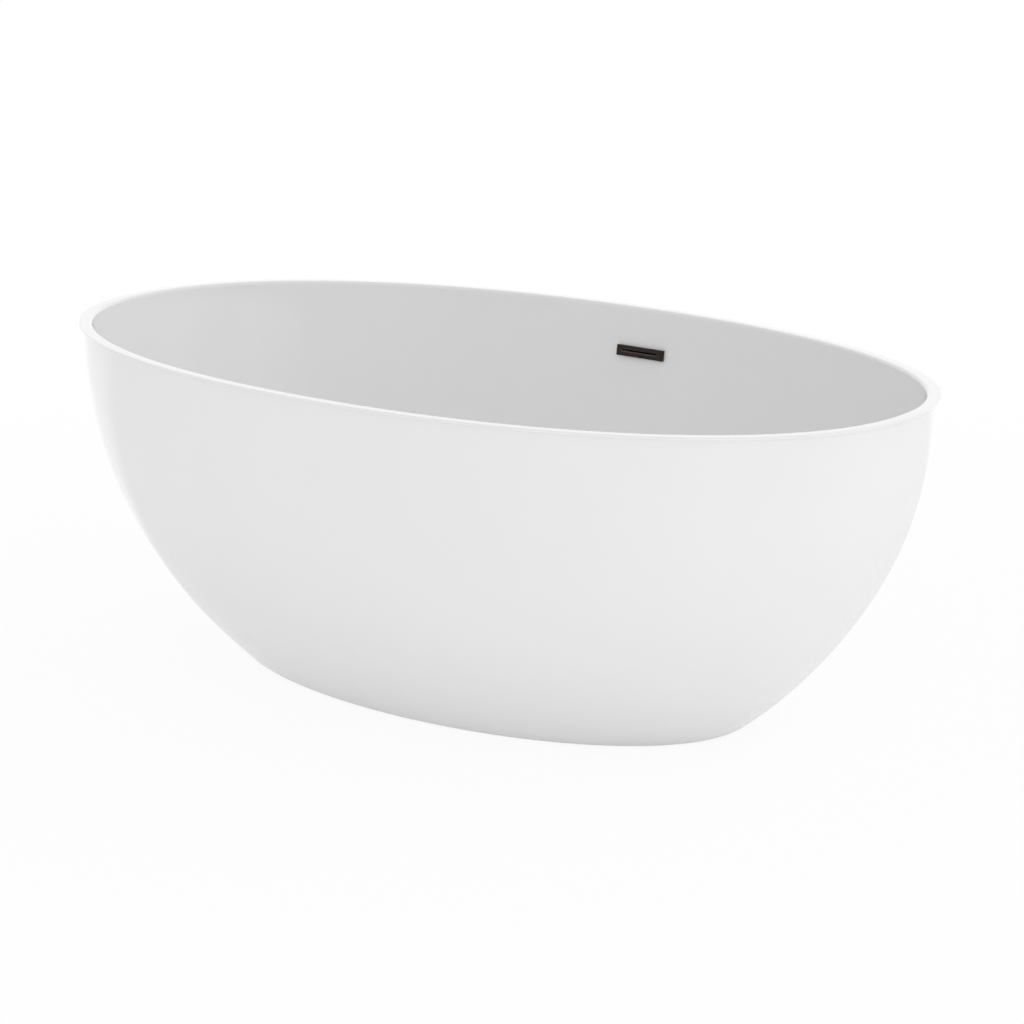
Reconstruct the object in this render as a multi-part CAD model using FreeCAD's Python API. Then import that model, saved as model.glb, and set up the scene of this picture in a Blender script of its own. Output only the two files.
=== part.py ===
import FreeCAD, Part
import math
import os

# Freestanding double-walled bathtub, in millimetres.
# Origin: centre of the footprint on the floor. +X runs along the tub, +Z is up, and the
# overflow is in the long wall at +Y. Every sub-part is one solid or one group of solids.

V = FreeCAD.Vector
X_AXIS, Y_AXIS, Z_AXIS = V(1, 0, 0), V(0, 1, 0), V(0, 0, 1)

# ---- outline -------------------------------------------------------------------------
HALF_LENGTH = 850.0
HALF_WIDTH = 490.0
HEIGHT = 593.0
RIM_EXPONENT = 2.12          # superellipse power of the rim outline
BASE_EXPONENT = 2.02
RING_POINTS = 32
LOFT_RINGS = 12

# ---- rim and skirt -------------------------------------------------------------------
RIM_THICKNESS = 4.5
RIM_WIDTH_END = 26.0
RIM_WIDTH_SIDE = 23.0
RIM_LIP = 7.0                # the rim stands out this far beyond the skirt
RIM_INNER_RADIUS = 6.0
RIM_OUTER_RADIUS = 1.6
SKIRT_BOTTOM = 3.0
SKIRT_THICKNESS = 4.0
BASE_HALF_LENGTH = 525.0
BASE_HALF_WIDTH = 280.0
SKIRT_END_POWERS = (2.02, 1.10)
SKIRT_SIDE_POWERS = (3.28, 0.875)

# ---- basin ---------------------------------------------------------------------------
FLOOR_TOP = 125.0
FLOOR_THICKNESS = 8.0
FLOOR_BOTTOM = FLOOR_TOP - FLOOR_THICKNESS
WALL_THICKNESS = 4.5
FLOOR_HALF_LENGTH = 540.0
FLOOR_HALF_WIDTH = 262.0
FLOOR_EXPONENT = 2.3
FLOOR_MARGIN = 9.0           # the underside of the floor is this much larger than its top
WALL_END_POWERS = (1.4, 2.0)
WALL_SIDE_POWERS = (1.5, 2.0)

# ---- board, frame and feet -----------------------------------------------------------
BOARD_THICKNESS = 16.0
BOARD_HALF_LENGTH = 500.0
BOARD_HALF_WIDTH = 225.0
BOARD_BOTTOM = FLOOR_BOTTOM - BOARD_THICKNESS
BOARD_EXPONENT = 2.6
BOARD_HOLE_RADIUS = 52.0
TUBE_SIZE = 25.0
TUBE_WALL = 2.0
RAIL_BOTTOM = BOARD_BOTTOM - TUBE_SIZE
RAIL_Y = 112.0
RAIL_HALF_LENGTH = 440.0
CROSS_BAR_X = (-370.0, -130.0, 130.0, 370.0)
FOOT_X = 370.0
FOOT_Y = 145.0
FOOT_PLATE = (60.0, 66.0, 5.0)
FOOT_PLATE_BOTTOM = RAIL_BOTTOM - FOOT_PLATE[2]
STUD_RADIUS = 6.0
STUD_CLEARANCE = 0.05
STUD_TOP = BOARD_BOTTOM - 3.0
PAD_RADIUS = 22.5
PAD_HEIGHT = 12.0
PAD_BEVEL = (5.0, 7.0)       # width and height of the pad's bevelled shoulder
SOCKET_FLOOR = 3.0
PAD_PLAY = 0.3               # between the stud and the pad
COLLAR_FLATS = 17.0
COLLAR_HEIGHT = 6.0
NUT_HEIGHT = 10.0
LOCK_NUT_HEIGHT = 7.0
NUT_ACROSS_FLATS = 19.0
SCREW_RADIUS = 2.4
SCREW_HEAD_RADIUS = 5.0
SCREW_HEAD_HEIGHT = 3.0
SCREW_BITE = 12.0
SCREW_OFFSET = 45.0          # from the middle of each cross bar, towards the drain
TIE_WIDTH = 40.0
TIE_THICKNESS = 3.0
TIE_X = (-250.0, 250.0)

# ---- waste ---------------------------------------------------------------------------
RECESS_RADIUS = 39.0
RECESS_DEPTH = 4.0
RECESS_TOP = FLOOR_TOP - RECESS_DEPTH
DRAIN_HOLE_RADIUS = 24.0
SPIGOT_RADIUS = 22.5
SPIGOT_BORE = 19.0
SPIGOT_BOTTOM = 88.0
FLANGE_RADIUS = 36.0
FLANGE_RISE = 1.0            # above the basin floor
FLANGE_EDGE = 1.5
SEAT_RADIUS = 30.5           # top of the seat that the seal closes
SEAT_FOOT = (20.5, 8.0)      # radius and depth of the seat's foot
THROAT_DEPTH = 12.0
SPOKE_WIDTH = 3.2
SPOKES = 3
UPPER_GASKET = 1.5
LOWER_GASKET = 3.0
TEE_TOP = FLOOR_BOTTOM - LOWER_GASKET
TEE_BOTTOM = 34.0
TEE_RADIUS = 27.0
TEE_BORE = 21.0
TEE_THREAD_BOTTOM = 84.0
TEE_COLLAR_RADIUS = 34.0
TEE_COLLAR_HEIGHT = 8.0
BRANCH_Z = 58.0
BRANCH_END = 62.0
BRANCH_RADIUS = 16.5
PIPE_RADIUS = 12.5
PIPE_BORE = 10.5
OUTLET_RADIUS = 19.05
OUTLET_NECK = 17.8
OUTLET_BORE = 16.3
OUTLET_BOTTOM = 8.0
OUTLET_FREE_LENGTH = 18.0
OUTLET_NECK_BOTTOM = OUTLET_BOTTOM + OUTLET_FREE_LENGTH
OUTLET_TOP = 60.0
OUTLET_NUT_BOTTOM = OUTLET_NECK_BOTTOM + 2.0
OUTLET_NUT_HEIGHT = 12.5
NUT_LIP = 3.0                # thickness of a slip nut's lip, which holds the washer
NUT_GRIP = 3.5               # a slip nut is this much larger than its thread
PIPE_NUT_LENGTH = 18.0
PIPE_NUT_OVERLAP = 8.0        # how far the pipe nut reaches past the end of the branch
PIPE_WASHER_LENGTH = 5.0
PIPE_SOCKET_DEPTH = 16.0

# ---- stopper -------------------------------------------------------------------------
BOSS_RADIUS = 9.0
BOSS_BOTTOM = 94.0
BOSS_TOP = 101.0
CARTRIDGE_RADIUS = 6.0
CARTRIDGE_HEAD_RADIUS = 8.0
CARTRIDGE_TOP = 114.0
CARTRIDGE_BOTTOM = 78.0
SPRING_SEAT = 80.0
CHAMBER_TOP = 99.3
CHAMBER_RADIUS = 4.8
PLUNGER_RADIUS = 3.0
SPRING_RADIUS = 3.7
SPRING_WIRE = 0.5            # radius of the wire
SPRING_TURNS = 5
PISTON_RADIUS = 4.6
PISTON_BOTTOM = 87.0
PISTON_TOP = 90.0
CAP_RADIUS = 31.5
CAP_BOTTOM = 126.9
CAP_THICKNESS = 4.6
CAP_EDGE = 1.8
SEAL_THICKNESS = 4.3
SEAL_RADIUS = 28.2
SEAL_FOOT_RADIUS = 25.2
SEAL_TAPER = 2.4
CAP_SKIN = 1.5               # cap left above the end of the plunger

# ---- overflow ------------------------------------------------------------------------
OVERFLOW_DROP = 83.0         # from the rim top down to the middle of the slot
PLATE_WIDTH = 104.0
PLATE_HEIGHT = 20.0
PLATE_DEPTH = 7.0
PLATE_WALL = 2.2
PLATE_CORNER = 1.2
SLOT_WIDTH = 80.0
SLOT_HEIGHT = 5.0
WALL_SLOT_WIDTH = 90.0
WALL_SLOT_HEIGHT = 11.0
OVERFLOW_GASKET = 2.0
DUCT_FLANGE = (112.0, 26.0, 2.5)
DUCT_OPENING = 62.0
DUCT_WALL = 1.4
DUCT_TOP = 523.0
SOCKET_RADIUS = 14.0
SOCKET_LENGTH = 22.0
SOCKET_OVERLAP = 4.0         # how far the flat duct reaches into the socket
SOCKET_TOP = (458.2, 392.0)  # y and z where the duct becomes a round socket
SOCKET_LEAN = 11.0           # degrees from upright
OVERFLOW_SCREW_X = 36.0
OVERFLOW_SCREW_RADIUS = 1.5
OVERFLOW_HEAD_RADIUS = 2.2
PLATE_END_WALL = 5.0
LUG_WIDTH = 6.0
LUG_BOTTOM = 0.8
LUG_THICKNESS = 2.0
SCREW_TOP = 1.4              # height of the overflow screws' heads
PIPE_START = 6.0             # from the socket's top to the end of the pipe
PIPE_DROP = 94.0             # straight run of the pipe below the socket's top
BEND_SHARE = 0.45            # a bend takes up to this share of its shorter run
PIPE_ROUTE = ((400.0, 200.0), (357.0, 130.0), (298.0, BRANCH_Z))   # y and z of the next corners


def profile(share, powers):
    """Rise of a wall from 0 at its foot to 1 at its top: (1 - (1 - s)^p)^(1/q)."""
    p, q = powers
    return (1.0 - (1.0 - share) ** p) ** (1.0 / q)


def ring(half_x, half_y, exponent, z):
    """Closed smooth outline |x/half_x|^n + |y/half_y|^n = 1 at height z."""
    points = []
    for i in range(RING_POINTS):
        turn = 2.0 * math.pi * i / RING_POINTS
        c, s = math.cos(turn), math.sin(turn)
        reach = (abs(c) ** exponent + abs(s) ** exponent) ** (-1.0 / exponent)
        points.append(V(half_x * c * reach, half_y * s * reach, z))
    curve = Part.BSplineCurve()
    knots = [i / RING_POINTS for i in range(RING_POINTS + 1)]
    curve.interpolate(Points=points, PeriodicFlag=True, Parameters=knots)
    return Part.Wire(curve.toShape())


def loft(sizes):
    """Solid through (half_x, half_y, exponent, z) rings."""
    return Part.makeLoft([ring(*size) for size in sizes], True)


def slab(half_x, half_y, exponent, bottom, top):
    return Part.Face(ring(half_x, half_y, exponent, bottom)).extrude(V(0, 0, top - bottom))


def tube(outer, inner, bottom, top, x=0.0, y=0.0):
    """Upright round tube; an inner radius of 0 makes a rod."""
    solid = Part.makeCylinder(outer, top - bottom, V(x, y, bottom))
    if inner:
        solid = solid.cut(Part.makeCylinder(inner, top - bottom + 2, V(x, y, bottom - 1)))
    return solid


def box(x0, x1, y0, y1, z0, z1):
    return Part.makeBox(x1 - x0, y1 - y0, z1 - z0, V(x0, y0, z0))


def turned(outline):
    """Solid of revolution about Z of a closed (radius, z) outline."""
    points = [V(r, 0, z) for r, z in outline]
    face = Part.Face(Part.makePolygon(points + points[:1]))
    return face.revolve(V(0, 0, 0), Z_AXIS, 360)


def prism(sides, across_flats, height, centre, axis=Z_AXIS):
    """Regular prism, such as a hex nut, standing on centre along axis."""
    radius = across_flats / 2.0 / math.cos(math.pi / sides)
    points = [V(radius * math.cos(2 * math.pi * i / sides), radius * math.sin(2 * math.pi * i / sides), 0)
              for i in range(sides)]
    solid = Part.Face(Part.makePolygon(points + points[:1])).extrude(V(0, 0, height))
    solid.Placement = FreeCAD.Placement(centre, FreeCAD.Rotation(Z_AXIS, axis))
    return solid


def group(solids):
    return Part.makeCompound(solids)


# ---- the two shells ------------------------------------------------------------------
def wall_sizes(foot, top, half_x, half_y, exponents):
    """Rings of a basin wall, closer together near the foot where it turns into the floor."""
    sizes = []
    for i in range(LOFT_RINGS):
        share = (i / (LOFT_RINGS - 1)) ** 2
        exponent = exponents[0] + (exponents[1] - exponents[0]) * share ** 0.5
        sizes.append((half_x[0] + (half_x[1] - half_x[0]) * profile(share, WALL_END_POWERS),
                      half_y[0] + (half_y[1] - half_y[0]) * profile(share, WALL_SIDE_POWERS),
                      exponent, foot + (top - foot) * share))
    return sizes


def cavity_half_width(z):
    share = (z - FLOOR_TOP) / (HEIGHT - FLOOR_TOP)
    top = HALF_WIDTH - RIM_WIDTH_SIDE
    return FLOOR_HALF_WIDTH + (top - FLOOR_HALF_WIDTH) * profile(share, WALL_SIDE_POWERS)


def basin_cavity():
    return loft(wall_sizes(FLOOR_TOP, HEIGHT,
                           (FLOOR_HALF_LENGTH, HALF_LENGTH - RIM_WIDTH_END),
                           (FLOOR_HALF_WIDTH, HALF_WIDTH - RIM_WIDTH_SIDE),
                           (FLOOR_EXPONENT, RIM_EXPONENT)))


def basin_backs():
    return loft(wall_sizes(FLOOR_BOTTOM, HEIGHT - RIM_THICKNESS / 2,
                           (FLOOR_HALF_LENGTH + FLOOR_MARGIN, HALF_LENGTH - RIM_WIDTH_END + WALL_THICKNESS),
                           (FLOOR_HALF_WIDTH + FLOOR_MARGIN, HALF_WIDTH - RIM_WIDTH_SIDE + WALL_THICKNESS),
                           (FLOOR_EXPONENT, RIM_EXPONENT)))


def rim_edges(solid, z):
    """Ring edges that lie flat at height z, the outer one first."""
    flat = [e for e in solid.Edges if abs(e.BoundBox.ZMin - z) < 1e-3 and abs(e.BoundBox.ZMax - z) < 1e-3]
    return sorted(flat, key=lambda e: -e.BoundBox.XLength)


def basin():
    rim = slab(HALF_LENGTH, HALF_WIDTH, RIM_EXPONENT, HEIGHT - RIM_THICKNESS, HEIGHT)
    shell = basin_backs().fuse(rim).cut(basin_cavity())
    outer, inner = rim_edges(shell, HEIGHT)[:2]
    shell = shell.makeFillet(RIM_INNER_RADIUS, [inner]).makeFillet(RIM_OUTER_RADIUS, [outer])
    recess = tube(RECESS_RADIUS, 0, RECESS_TOP, FLOOR_TOP + 5)
    hole = tube(DRAIN_HOLE_RADIUS, 0, FLOOR_BOTTOM - 5, RECESS_TOP + 5)
    wall_slot = at_overflow(obround(WALL_SLOT_WIDTH, WALL_SLOT_HEIGHT, -20, 20))
    return shell.cut(recess).cut(hole).cut(wall_slot)


def skirt_sizes(inset):
    """Rings of the skirt; inset is measured square to the wall in its upright section."""
    foot, top = SKIRT_BOTTOM, HEIGHT - RIM_THICKNESS
    sizes = []
    for i in range(LOFT_RINGS):
        share = (i / (LOFT_RINGS - 1)) ** 1.3
        halves = []
        for base, reach, powers in ((BASE_HALF_LENGTH, HALF_LENGTH - RIM_LIP, SKIRT_END_POWERS),
                                    (BASE_HALF_WIDTH, HALF_WIDTH - RIM_LIP, SKIRT_SIDE_POWERS)):
            low, high = max(share - 0.01, 0.0), min(share + 0.01, 1.0)
            slope = (reach - base) * (profile(high, powers) - profile(low, powers))
            slope /= (high - low) * (top - foot)
            halves.append(base + (reach - base) * profile(share, powers) - inset * math.hypot(1.0, slope))
        exponent = BASE_EXPONENT + (RIM_EXPONENT - BASE_EXPONENT) * profile(share, SKIRT_END_POWERS)
        sizes.append((halves[0], halves[1], exponent, foot + (top - foot) * share))
    return sizes


def skirt_inside():
    return loft(skirt_sizes(SKIRT_THICKNESS))


def skirt():
    return loft(skirt_sizes(0.0)).cut(skirt_inside())


# ---- board and frame -----------------------------------------------------------------
def screw_places():
    return [(x - math.copysign(SCREW_OFFSET, x), side * RAIL_Y) for x in CROSS_BAR_X for side in (-1, 1)]


def base_board():
    board = slab(BOARD_HALF_LENGTH, BOARD_HALF_WIDTH, BOARD_EXPONENT, BOARD_BOTTOM, FLOOR_BOTTOM)
    board = board.cut(tube(BOARD_HOLE_RADIUS, 0, BOARD_BOTTOM - 1, FLOOR_BOTTOM + 1))
    for x, y in screw_places():
        board = board.cut(tube(SCREW_RADIUS, 0, BOARD_BOTTOM - 1, BOARD_BOTTOM + SCREW_BITE, x, y))
    return board


def square_tube(x0, x1, y0, y1):
    """Square steel tube at rail height along its longer side."""
    along_x = x1 - x0 > y1 - y0
    outer = box(x0, x1, y0, y1, RAIL_BOTTOM, BOARD_BOTTOM)
    dx, dy = (-1, TUBE_WALL) if along_x else (TUBE_WALL, -1)
    return outer.cut(box(x0 + dx, x1 - dx, y0 + dy, y1 - dy, RAIL_BOTTOM + TUBE_WALL, BOARD_BOTTOM - TUBE_WALL))


def frame_rail(side):
    y = side * RAIL_Y
    rail = square_tube(-RAIL_HALF_LENGTH, RAIL_HALF_LENGTH, y - TUBE_SIZE / 2, y + TUBE_SIZE / 2)
    for x, screw_y in screw_places():
        rail = rail.cut(tube(SCREW_RADIUS, 0, RAIL_BOTTOM - 1, BOARD_BOTTOM + 1, x, screw_y))
    return rail


def frame_cross_bars():
    reach = RAIL_Y - TUBE_SIZE / 2
    return group([square_tube(x - TUBE_SIZE / 2, x + TUBE_SIZE / 2, -reach, reach) for x in CROSS_BAR_X])


def frame_screws():
    screws = []
    for x, y in screw_places():
        shank = tube(SCREW_RADIUS, 0, RAIL_BOTTOM, BOARD_BOTTOM + SCREW_BITE, x, y)
        head = Part.makeCone(SCREW_HEAD_RADIUS * 0.7, SCREW_HEAD_RADIUS, SCREW_HEAD_HEIGHT,
                             V(x, y, RAIL_BOTTOM - SCREW_HEAD_HEIGHT))
        screws.append(shank.fuse(head))
    return group(screws)


def foot_places():
    return {"front_left": (-FOOT_X, -FOOT_Y), "front_right": (FOOT_X, -FOOT_Y),
            "back_left": (-FOOT_X, FOOT_Y), "back_right": (FOOT_X, FOOT_Y)}


def foot_plates():
    """Plates welded under the rails, with the stud's hole in the outboard end."""
    length, reach, thickness = FOOT_PLATE
    plates = []
    for x, y in foot_places().values():
        side = math.copysign(1, y)
        inner = side * (RAIL_Y - TUBE_SIZE / 2)
        y0, y1 = sorted((inner, inner + side * reach))
        plate = box(x - length / 2, x + length / 2, y0, y1, FOOT_PLATE_BOTTOM, RAIL_BOTTOM)
        plates.append(plate.cut(tube(STUD_RADIUS + 1, 0, FOOT_PLATE_BOTTOM - 1, RAIL_BOTTOM + 1, x, y)))
    return group(plates)


def stud_nuts(top, height):
    nuts = []
    for x, y in foot_places().values():
        nut = prism(6, NUT_ACROSS_FLATS, height, V(x, y, top - height))
        nuts.append(nut.cut(tube(STUD_RADIUS + STUD_CLEARANCE, 0, top - height - 1, top + 1, x, y)))
    return group(nuts)


def foot_pad(x, y):
    """Round rubber pad with a socket for the end of the stud."""
    width, height = PAD_BEVEL
    pad = turned([(0, 0), (PAD_RADIUS, 0), (PAD_RADIUS, PAD_HEIGHT - height), (PAD_RADIUS - width, PAD_HEIGHT),
                  (0, PAD_HEIGHT)])
    pad = pad.cut(tube(STUD_RADIUS + STUD_CLEARANCE, 0, SOCKET_FLOOR, PAD_HEIGHT + 1))
    pad.translate(V(x, y, 0))
    return pad


def foot_stud(x, y):
    """Threaded stud with the wrench collar that rests just above the pad."""
    shank = tube(STUD_RADIUS, 0, SOCKET_FLOOR + PAD_PLAY, STUD_TOP, x, y)
    return shank.fuse(prism(6, COLLAR_FLATS, COLLAR_HEIGHT, V(x, y, PAD_HEIGHT + PAD_PLAY)))


def skirt_ties():
    """Steel strips welded under the rails and bonded to the inside of the skirt."""
    inside = skirt_inside()
    ties = []
    for x in TIE_X:
        for side in (-1, 1):
            inner = side * (RAIL_Y - TUBE_SIZE / 2)
            y0, y1 = sorted((inner, side * HALF_WIDTH))
            strip = box(x - TIE_WIDTH / 2, x + TIE_WIDTH / 2, y0, y1, RAIL_BOTTOM - TIE_THICKNESS, RAIL_BOTTOM)
            ties.append(strip.common(inside))
    return group(ties)


# ---- waste ---------------------------------------------------------------------------
def drain_gasket_top():
    return tube(FLANGE_RADIUS - 1, DRAIN_HOLE_RADIUS, RECESS_TOP, RECESS_TOP + UPPER_GASKET)


def drain_gasket_bottom():
    return tube(TEE_COLLAR_RADIUS, SPIGOT_RADIUS + 0.3, TEE_TOP, FLOOR_BOTTOM)


def drain_flange():
    """Flange, sloping seat and spigot, with three spokes that carry the stopper's boss."""
    under = RECESS_TOP + UPPER_GASKET
    top = FLOOR_TOP + FLANGE_RISE
    seat_foot, seat_depth = SEAT_FOOT
    body = turned([(SPIGOT_BORE, SPIGOT_BOTTOM), (SPIGOT_RADIUS, SPIGOT_BOTTOM), (SPIGOT_RADIUS, under),
                   (FLANGE_RADIUS, under), (FLANGE_RADIUS, top - FLANGE_EDGE), (FLANGE_RADIUS - FLANGE_EDGE, top),
                   (SEAT_RADIUS, top), (seat_foot, top - seat_depth), (SPIGOT_BORE, top - THROAT_DEPTH)])
    for i in range(SPOKES):
        spoke = box(BOSS_RADIUS - 1, SPIGOT_BORE + 1, -SPOKE_WIDTH / 2, SPOKE_WIDTH / 2, BOSS_BOTTOM, BOSS_TOP)
        spoke.rotate(V(0, 0, 0), Z_AXIS, 360 * i / SPOKES + 30)
        body = body.fuse(spoke)
    return body.fuse(tube(BOSS_RADIUS, CARTRIDGE_RADIUS, BOSS_BOTTOM, BOSS_TOP)).removeSplitter()


def drain_tee():
    """Waste body: threaded collar on top, outlet below and the overflow branch towards +Y."""
    body = tube(TEE_RADIUS, 0, TEE_BOTTOM, TEE_TOP)
    body = body.fuse(tube(TEE_COLLAR_RADIUS, 0, TEE_TOP - TEE_COLLAR_HEIGHT, TEE_TOP))
    branch = Part.makeCylinder(BRANCH_RADIUS, BRANCH_END, V(0, 0, BRANCH_Z), Y_AXIS)
    body = body.fuse(branch)
    body = body.cut(tube(SPIGOT_RADIUS, 0, TEE_THREAD_BOTTOM, TEE_TOP + 1))
    body = body.cut(tube(TEE_BORE, 0, TEE_BOTTOM - 1, TEE_THREAD_BOTTOM + 1))
    body = body.cut(Part.makeCylinder(PIPE_BORE, BRANCH_END + 1, V(0, 0, BRANCH_Z), Y_AXIS))
    socket = Part.makeCylinder(PIPE_RADIUS, BRANCH_END, V(0, BRANCH_END - PIPE_SOCKET_DEPTH, BRANCH_Z), Y_AXIS)
    return body.cut(socket)


def slip_nut(thread, bore, height, centre, axis):
    """Eight-sided nut over a threaded end, with a lip round the pipe at its mouth."""
    nut = prism(8, 2 * (thread + NUT_GRIP), height, centre, axis)
    inner = Part.makeCylinder(thread, height, centre + axis * NUT_LIP, axis)
    return nut.cut(inner).cut(Part.makeCylinder(bore, height, centre - axis, axis))


def washer(outer, inner, height, centre, axis):
    ring_body = Part.makeCylinder(outer, height, centre, axis)
    return ring_body.cut(Part.makeCylinder(inner, height + 2, centre - axis, axis))


def tailpiece():
    """Outlet tube: necked where it enters the tee, full size at its free end."""
    free = tube(OUTLET_RADIUS, OUTLET_BORE, OUTLET_BOTTOM, OUTLET_NECK_BOTTOM)
    return free.fuse(tube(OUTLET_NECK, OUTLET_BORE, OUTLET_NECK_BOTTOM, OUTLET_TOP))


def tailpiece_washer():
    bottom = OUTLET_NUT_BOTTOM + NUT_LIP
    return washer(TEE_RADIUS - 0.5, OUTLET_NECK, TEE_BOTTOM - bottom, V(0, 0, bottom), Z_AXIS)


def tailpiece_nut():
    return slip_nut(TEE_RADIUS, OUTLET_NECK + 0.1, OUTLET_NUT_HEIGHT, V(0, 0, OUTLET_NUT_BOTTOM), Z_AXIS)


# ---- stopper -------------------------------------------------------------------------
def stopper_cartridge():
    """Sleeve screwed into the boss; it guides the plunger and holds the spring."""
    outer = tube(CARTRIDGE_RADIUS, 0, CARTRIDGE_BOTTOM, CARTRIDGE_TOP)
    outer = outer.fuse(tube(CARTRIDGE_HEAD_RADIUS, 0, BOSS_TOP, CARTRIDGE_TOP))
    outer = outer.cut(tube(CHAMBER_RADIUS, 0, SPRING_SEAT, CHAMBER_TOP))
    return outer.cut(tube(PLUNGER_RADIUS + 0.05, 0, SPRING_SEAT, CARTRIDGE_TOP + 1))


def stopper_spring():
    """Latch spring, compressed under the piston; each turn is a closed ring."""
    low, high = SPRING_SEAT + SPRING_WIRE, PISTON_BOTTOM - SPRING_WIRE - 0.3
    step = (high - low) / (SPRING_TURNS - 1)
    return group([Part.makeTorus(SPRING_RADIUS, SPRING_WIRE, V(0, 0, low + i * step)) for i in range(SPRING_TURNS)])


def stopper_plunger():
    rod = tube(PLUNGER_RADIUS, 0, PISTON_BOTTOM, CAP_BOTTOM + CAP_THICKNESS - CAP_SKIN)
    return rod.fuse(tube(PISTON_RADIUS, 0, PISTON_BOTTOM, PISTON_TOP))


def stopper_seal():
    top = CAP_BOTTOM
    bottom = top - SEAL_THICKNESS
    return turned([(PLUNGER_RADIUS, bottom), (SEAL_FOOT_RADIUS, bottom), (SEAL_RADIUS, bottom + SEAL_TAPER),
                   (SEAL_RADIUS, top), (PLUNGER_RADIUS, top)])


def stopper_cap():
    """Low dome on the plunger: the part that a toe presses."""
    rise = CAP_THICKNESS - CAP_EDGE
    ball_radius = (CAP_RADIUS ** 2 + rise ** 2) / (2 * rise)
    dome = tube(CAP_RADIUS, 0, CAP_BOTTOM, CAP_BOTTOM + CAP_THICKNESS)
    dome = dome.common(Part.makeSphere(ball_radius, V(0, 0, CAP_BOTTOM + CAP_THICKNESS - ball_radius)))
    return dome.cut(tube(PLUNGER_RADIUS, 0, CAP_BOTTOM - 1, CAP_BOTTOM + CAP_THICKNESS - CAP_SKIN))


# ---- overflow ------------------------------------------------------------------------
def obround(width, height, low, high):
    """Slot-shaped prism along the local z axis."""
    reach = (width - height) / 2
    bar = Part.makeBox(2 * reach, height, high - low, V(-reach, -height / 2, low))
    for x in (-reach, reach):
        bar = bar.fuse(Part.makeCylinder(height / 2, high - low, V(x, 0, low)))
    return bar.removeSplitter()


def at_overflow(solid):
    """Place a solid whose x runs along the tub, y up the leaning wall and z into the tub."""
    z = HEIGHT - OVERFLOW_DROP
    lean = math.degrees(math.atan2(cavity_half_width(z + 5) - cavity_half_width(z - 5), 10))
    copy = solid.copy()
    copy.Placement = FreeCAD.Placement(V(0, cavity_half_width(z), z), FreeCAD.Rotation(X_AXIS, 90.0 - lean))
    return copy


def overflow_plate(shell):
    """Hollow bronze plate with one slot, its back edge fitted to the curved wall."""
    w, h = PLATE_WIDTH / 2, PLATE_HEIGHT / 2
    plate = box(-w, w, -h, h, -4, PLATE_DEPTH)
    front = [e for e in plate.Edges if e.BoundBox.ZMin > PLATE_DEPTH - 0.1]
    plate = plate.makeFillet(PLATE_CORNER, front)
    plate = plate.cut(box(-w + PLATE_END_WALL, w - PLATE_END_WALL, -h + PLATE_WALL, h - PLATE_WALL,
                          -5, PLATE_DEPTH - PLATE_WALL))
    s, t = SLOT_WIDTH / 2, SLOT_HEIGHT / 2
    plate = plate.cut(box(-s, s, -t, t, 0, PLATE_DEPTH + 1))
    for x in (-OVERFLOW_SCREW_X, OVERFLOW_SCREW_X):
        lug = box(x - LUG_WIDTH / 2, x + LUG_WIDTH / 2, -h + 1, h - 1, LUG_BOTTOM, LUG_BOTTOM + LUG_THICKNESS)
        plate = plate.fuse(lug).cut(tube(OVERFLOW_SCREW_RADIUS, 0, -5, 5, x))
    return at_overflow(plate).cut(shell)


def overflow_gasket(shell):
    """Soft ring between the wall's back and the duct's flange, fitted to the curved wall."""
    w, h, _ = DUCT_FLANGE
    seal = obround(w, h, -WALL_THICKNESS - OVERFLOW_GASKET, -1)
    return at_overflow(seal.cut(obround(WALL_SLOT_WIDTH, WALL_SLOT_HEIGHT, -20, 20))).cut(shell)


def flange_back():
    return -WALL_THICKNESS - OVERFLOW_GASKET - DUCT_FLANGE[2]


def duct_loft(inset):
    """Flat duct that hangs in the gap between the shells and narrows to the round socket."""
    end = V(0, *SOCKET_TOP) + socket_axis() * SOCKET_OVERLAP
    radius = SOCKET_RADIUS - 1.0
    stations = ((DUCT_TOP - inset, 46.0, 470.2, 477.2, 5.0), (HEIGHT - OVERFLOW_DROP, 48.0, 468.0, 477.2, 5.0),
                (480.0, 46.0, 463.2, 477.0, 4.0), (435.0, 28.0, 455.0, 475.0, 2.6),
                (end.z, radius, end.y - radius, end.y + radius, 2.0))
    wires = []
    for z, half_x, front, back, exponent in stations:
        wire = ring(half_x - inset, (back - front) / 2 - inset, exponent, z)
        wire.translate(V(0, (front + back) / 2, 0))
        wires.append(wire)
    return Part.makeLoft(wires, True)


def socket_axis():
    lean = math.radians(SOCKET_LEAN)
    return V(0, -math.sin(lean), -math.cos(lean))


def overflow_duct():
    """Flange against the wall, flat duct behind it and the round socket for the pipe."""
    w, h, thickness = DUCT_FLANGE
    flange = at_overflow(obround(w, h, flange_back(), flange_back() + thickness))
    start = V(0, *SOCKET_TOP)
    socket = Part.makeCylinder(SOCKET_RADIUS, SOCKET_LENGTH, start, socket_axis())
    bore = Part.makeCylinder(PIPE_RADIUS, SOCKET_LENGTH, start + socket_axis() * 2, socket_axis())
    inlet = at_overflow(obround(DUCT_OPENING, WALL_SLOT_HEIGHT, flange_back() - 3, 0))
    duct = duct_loft(0.0).fuse(socket).fuse(flange).cut(duct_loft(DUCT_WALL)).cut(bore).cut(inlet)
    for x in (-OVERFLOW_SCREW_X, OVERFLOW_SCREW_X):
        duct = duct.cut(at_overflow(tube(OVERFLOW_SCREW_RADIUS, 0, flange_back() - 3, 0, x)))
    return duct


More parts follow.
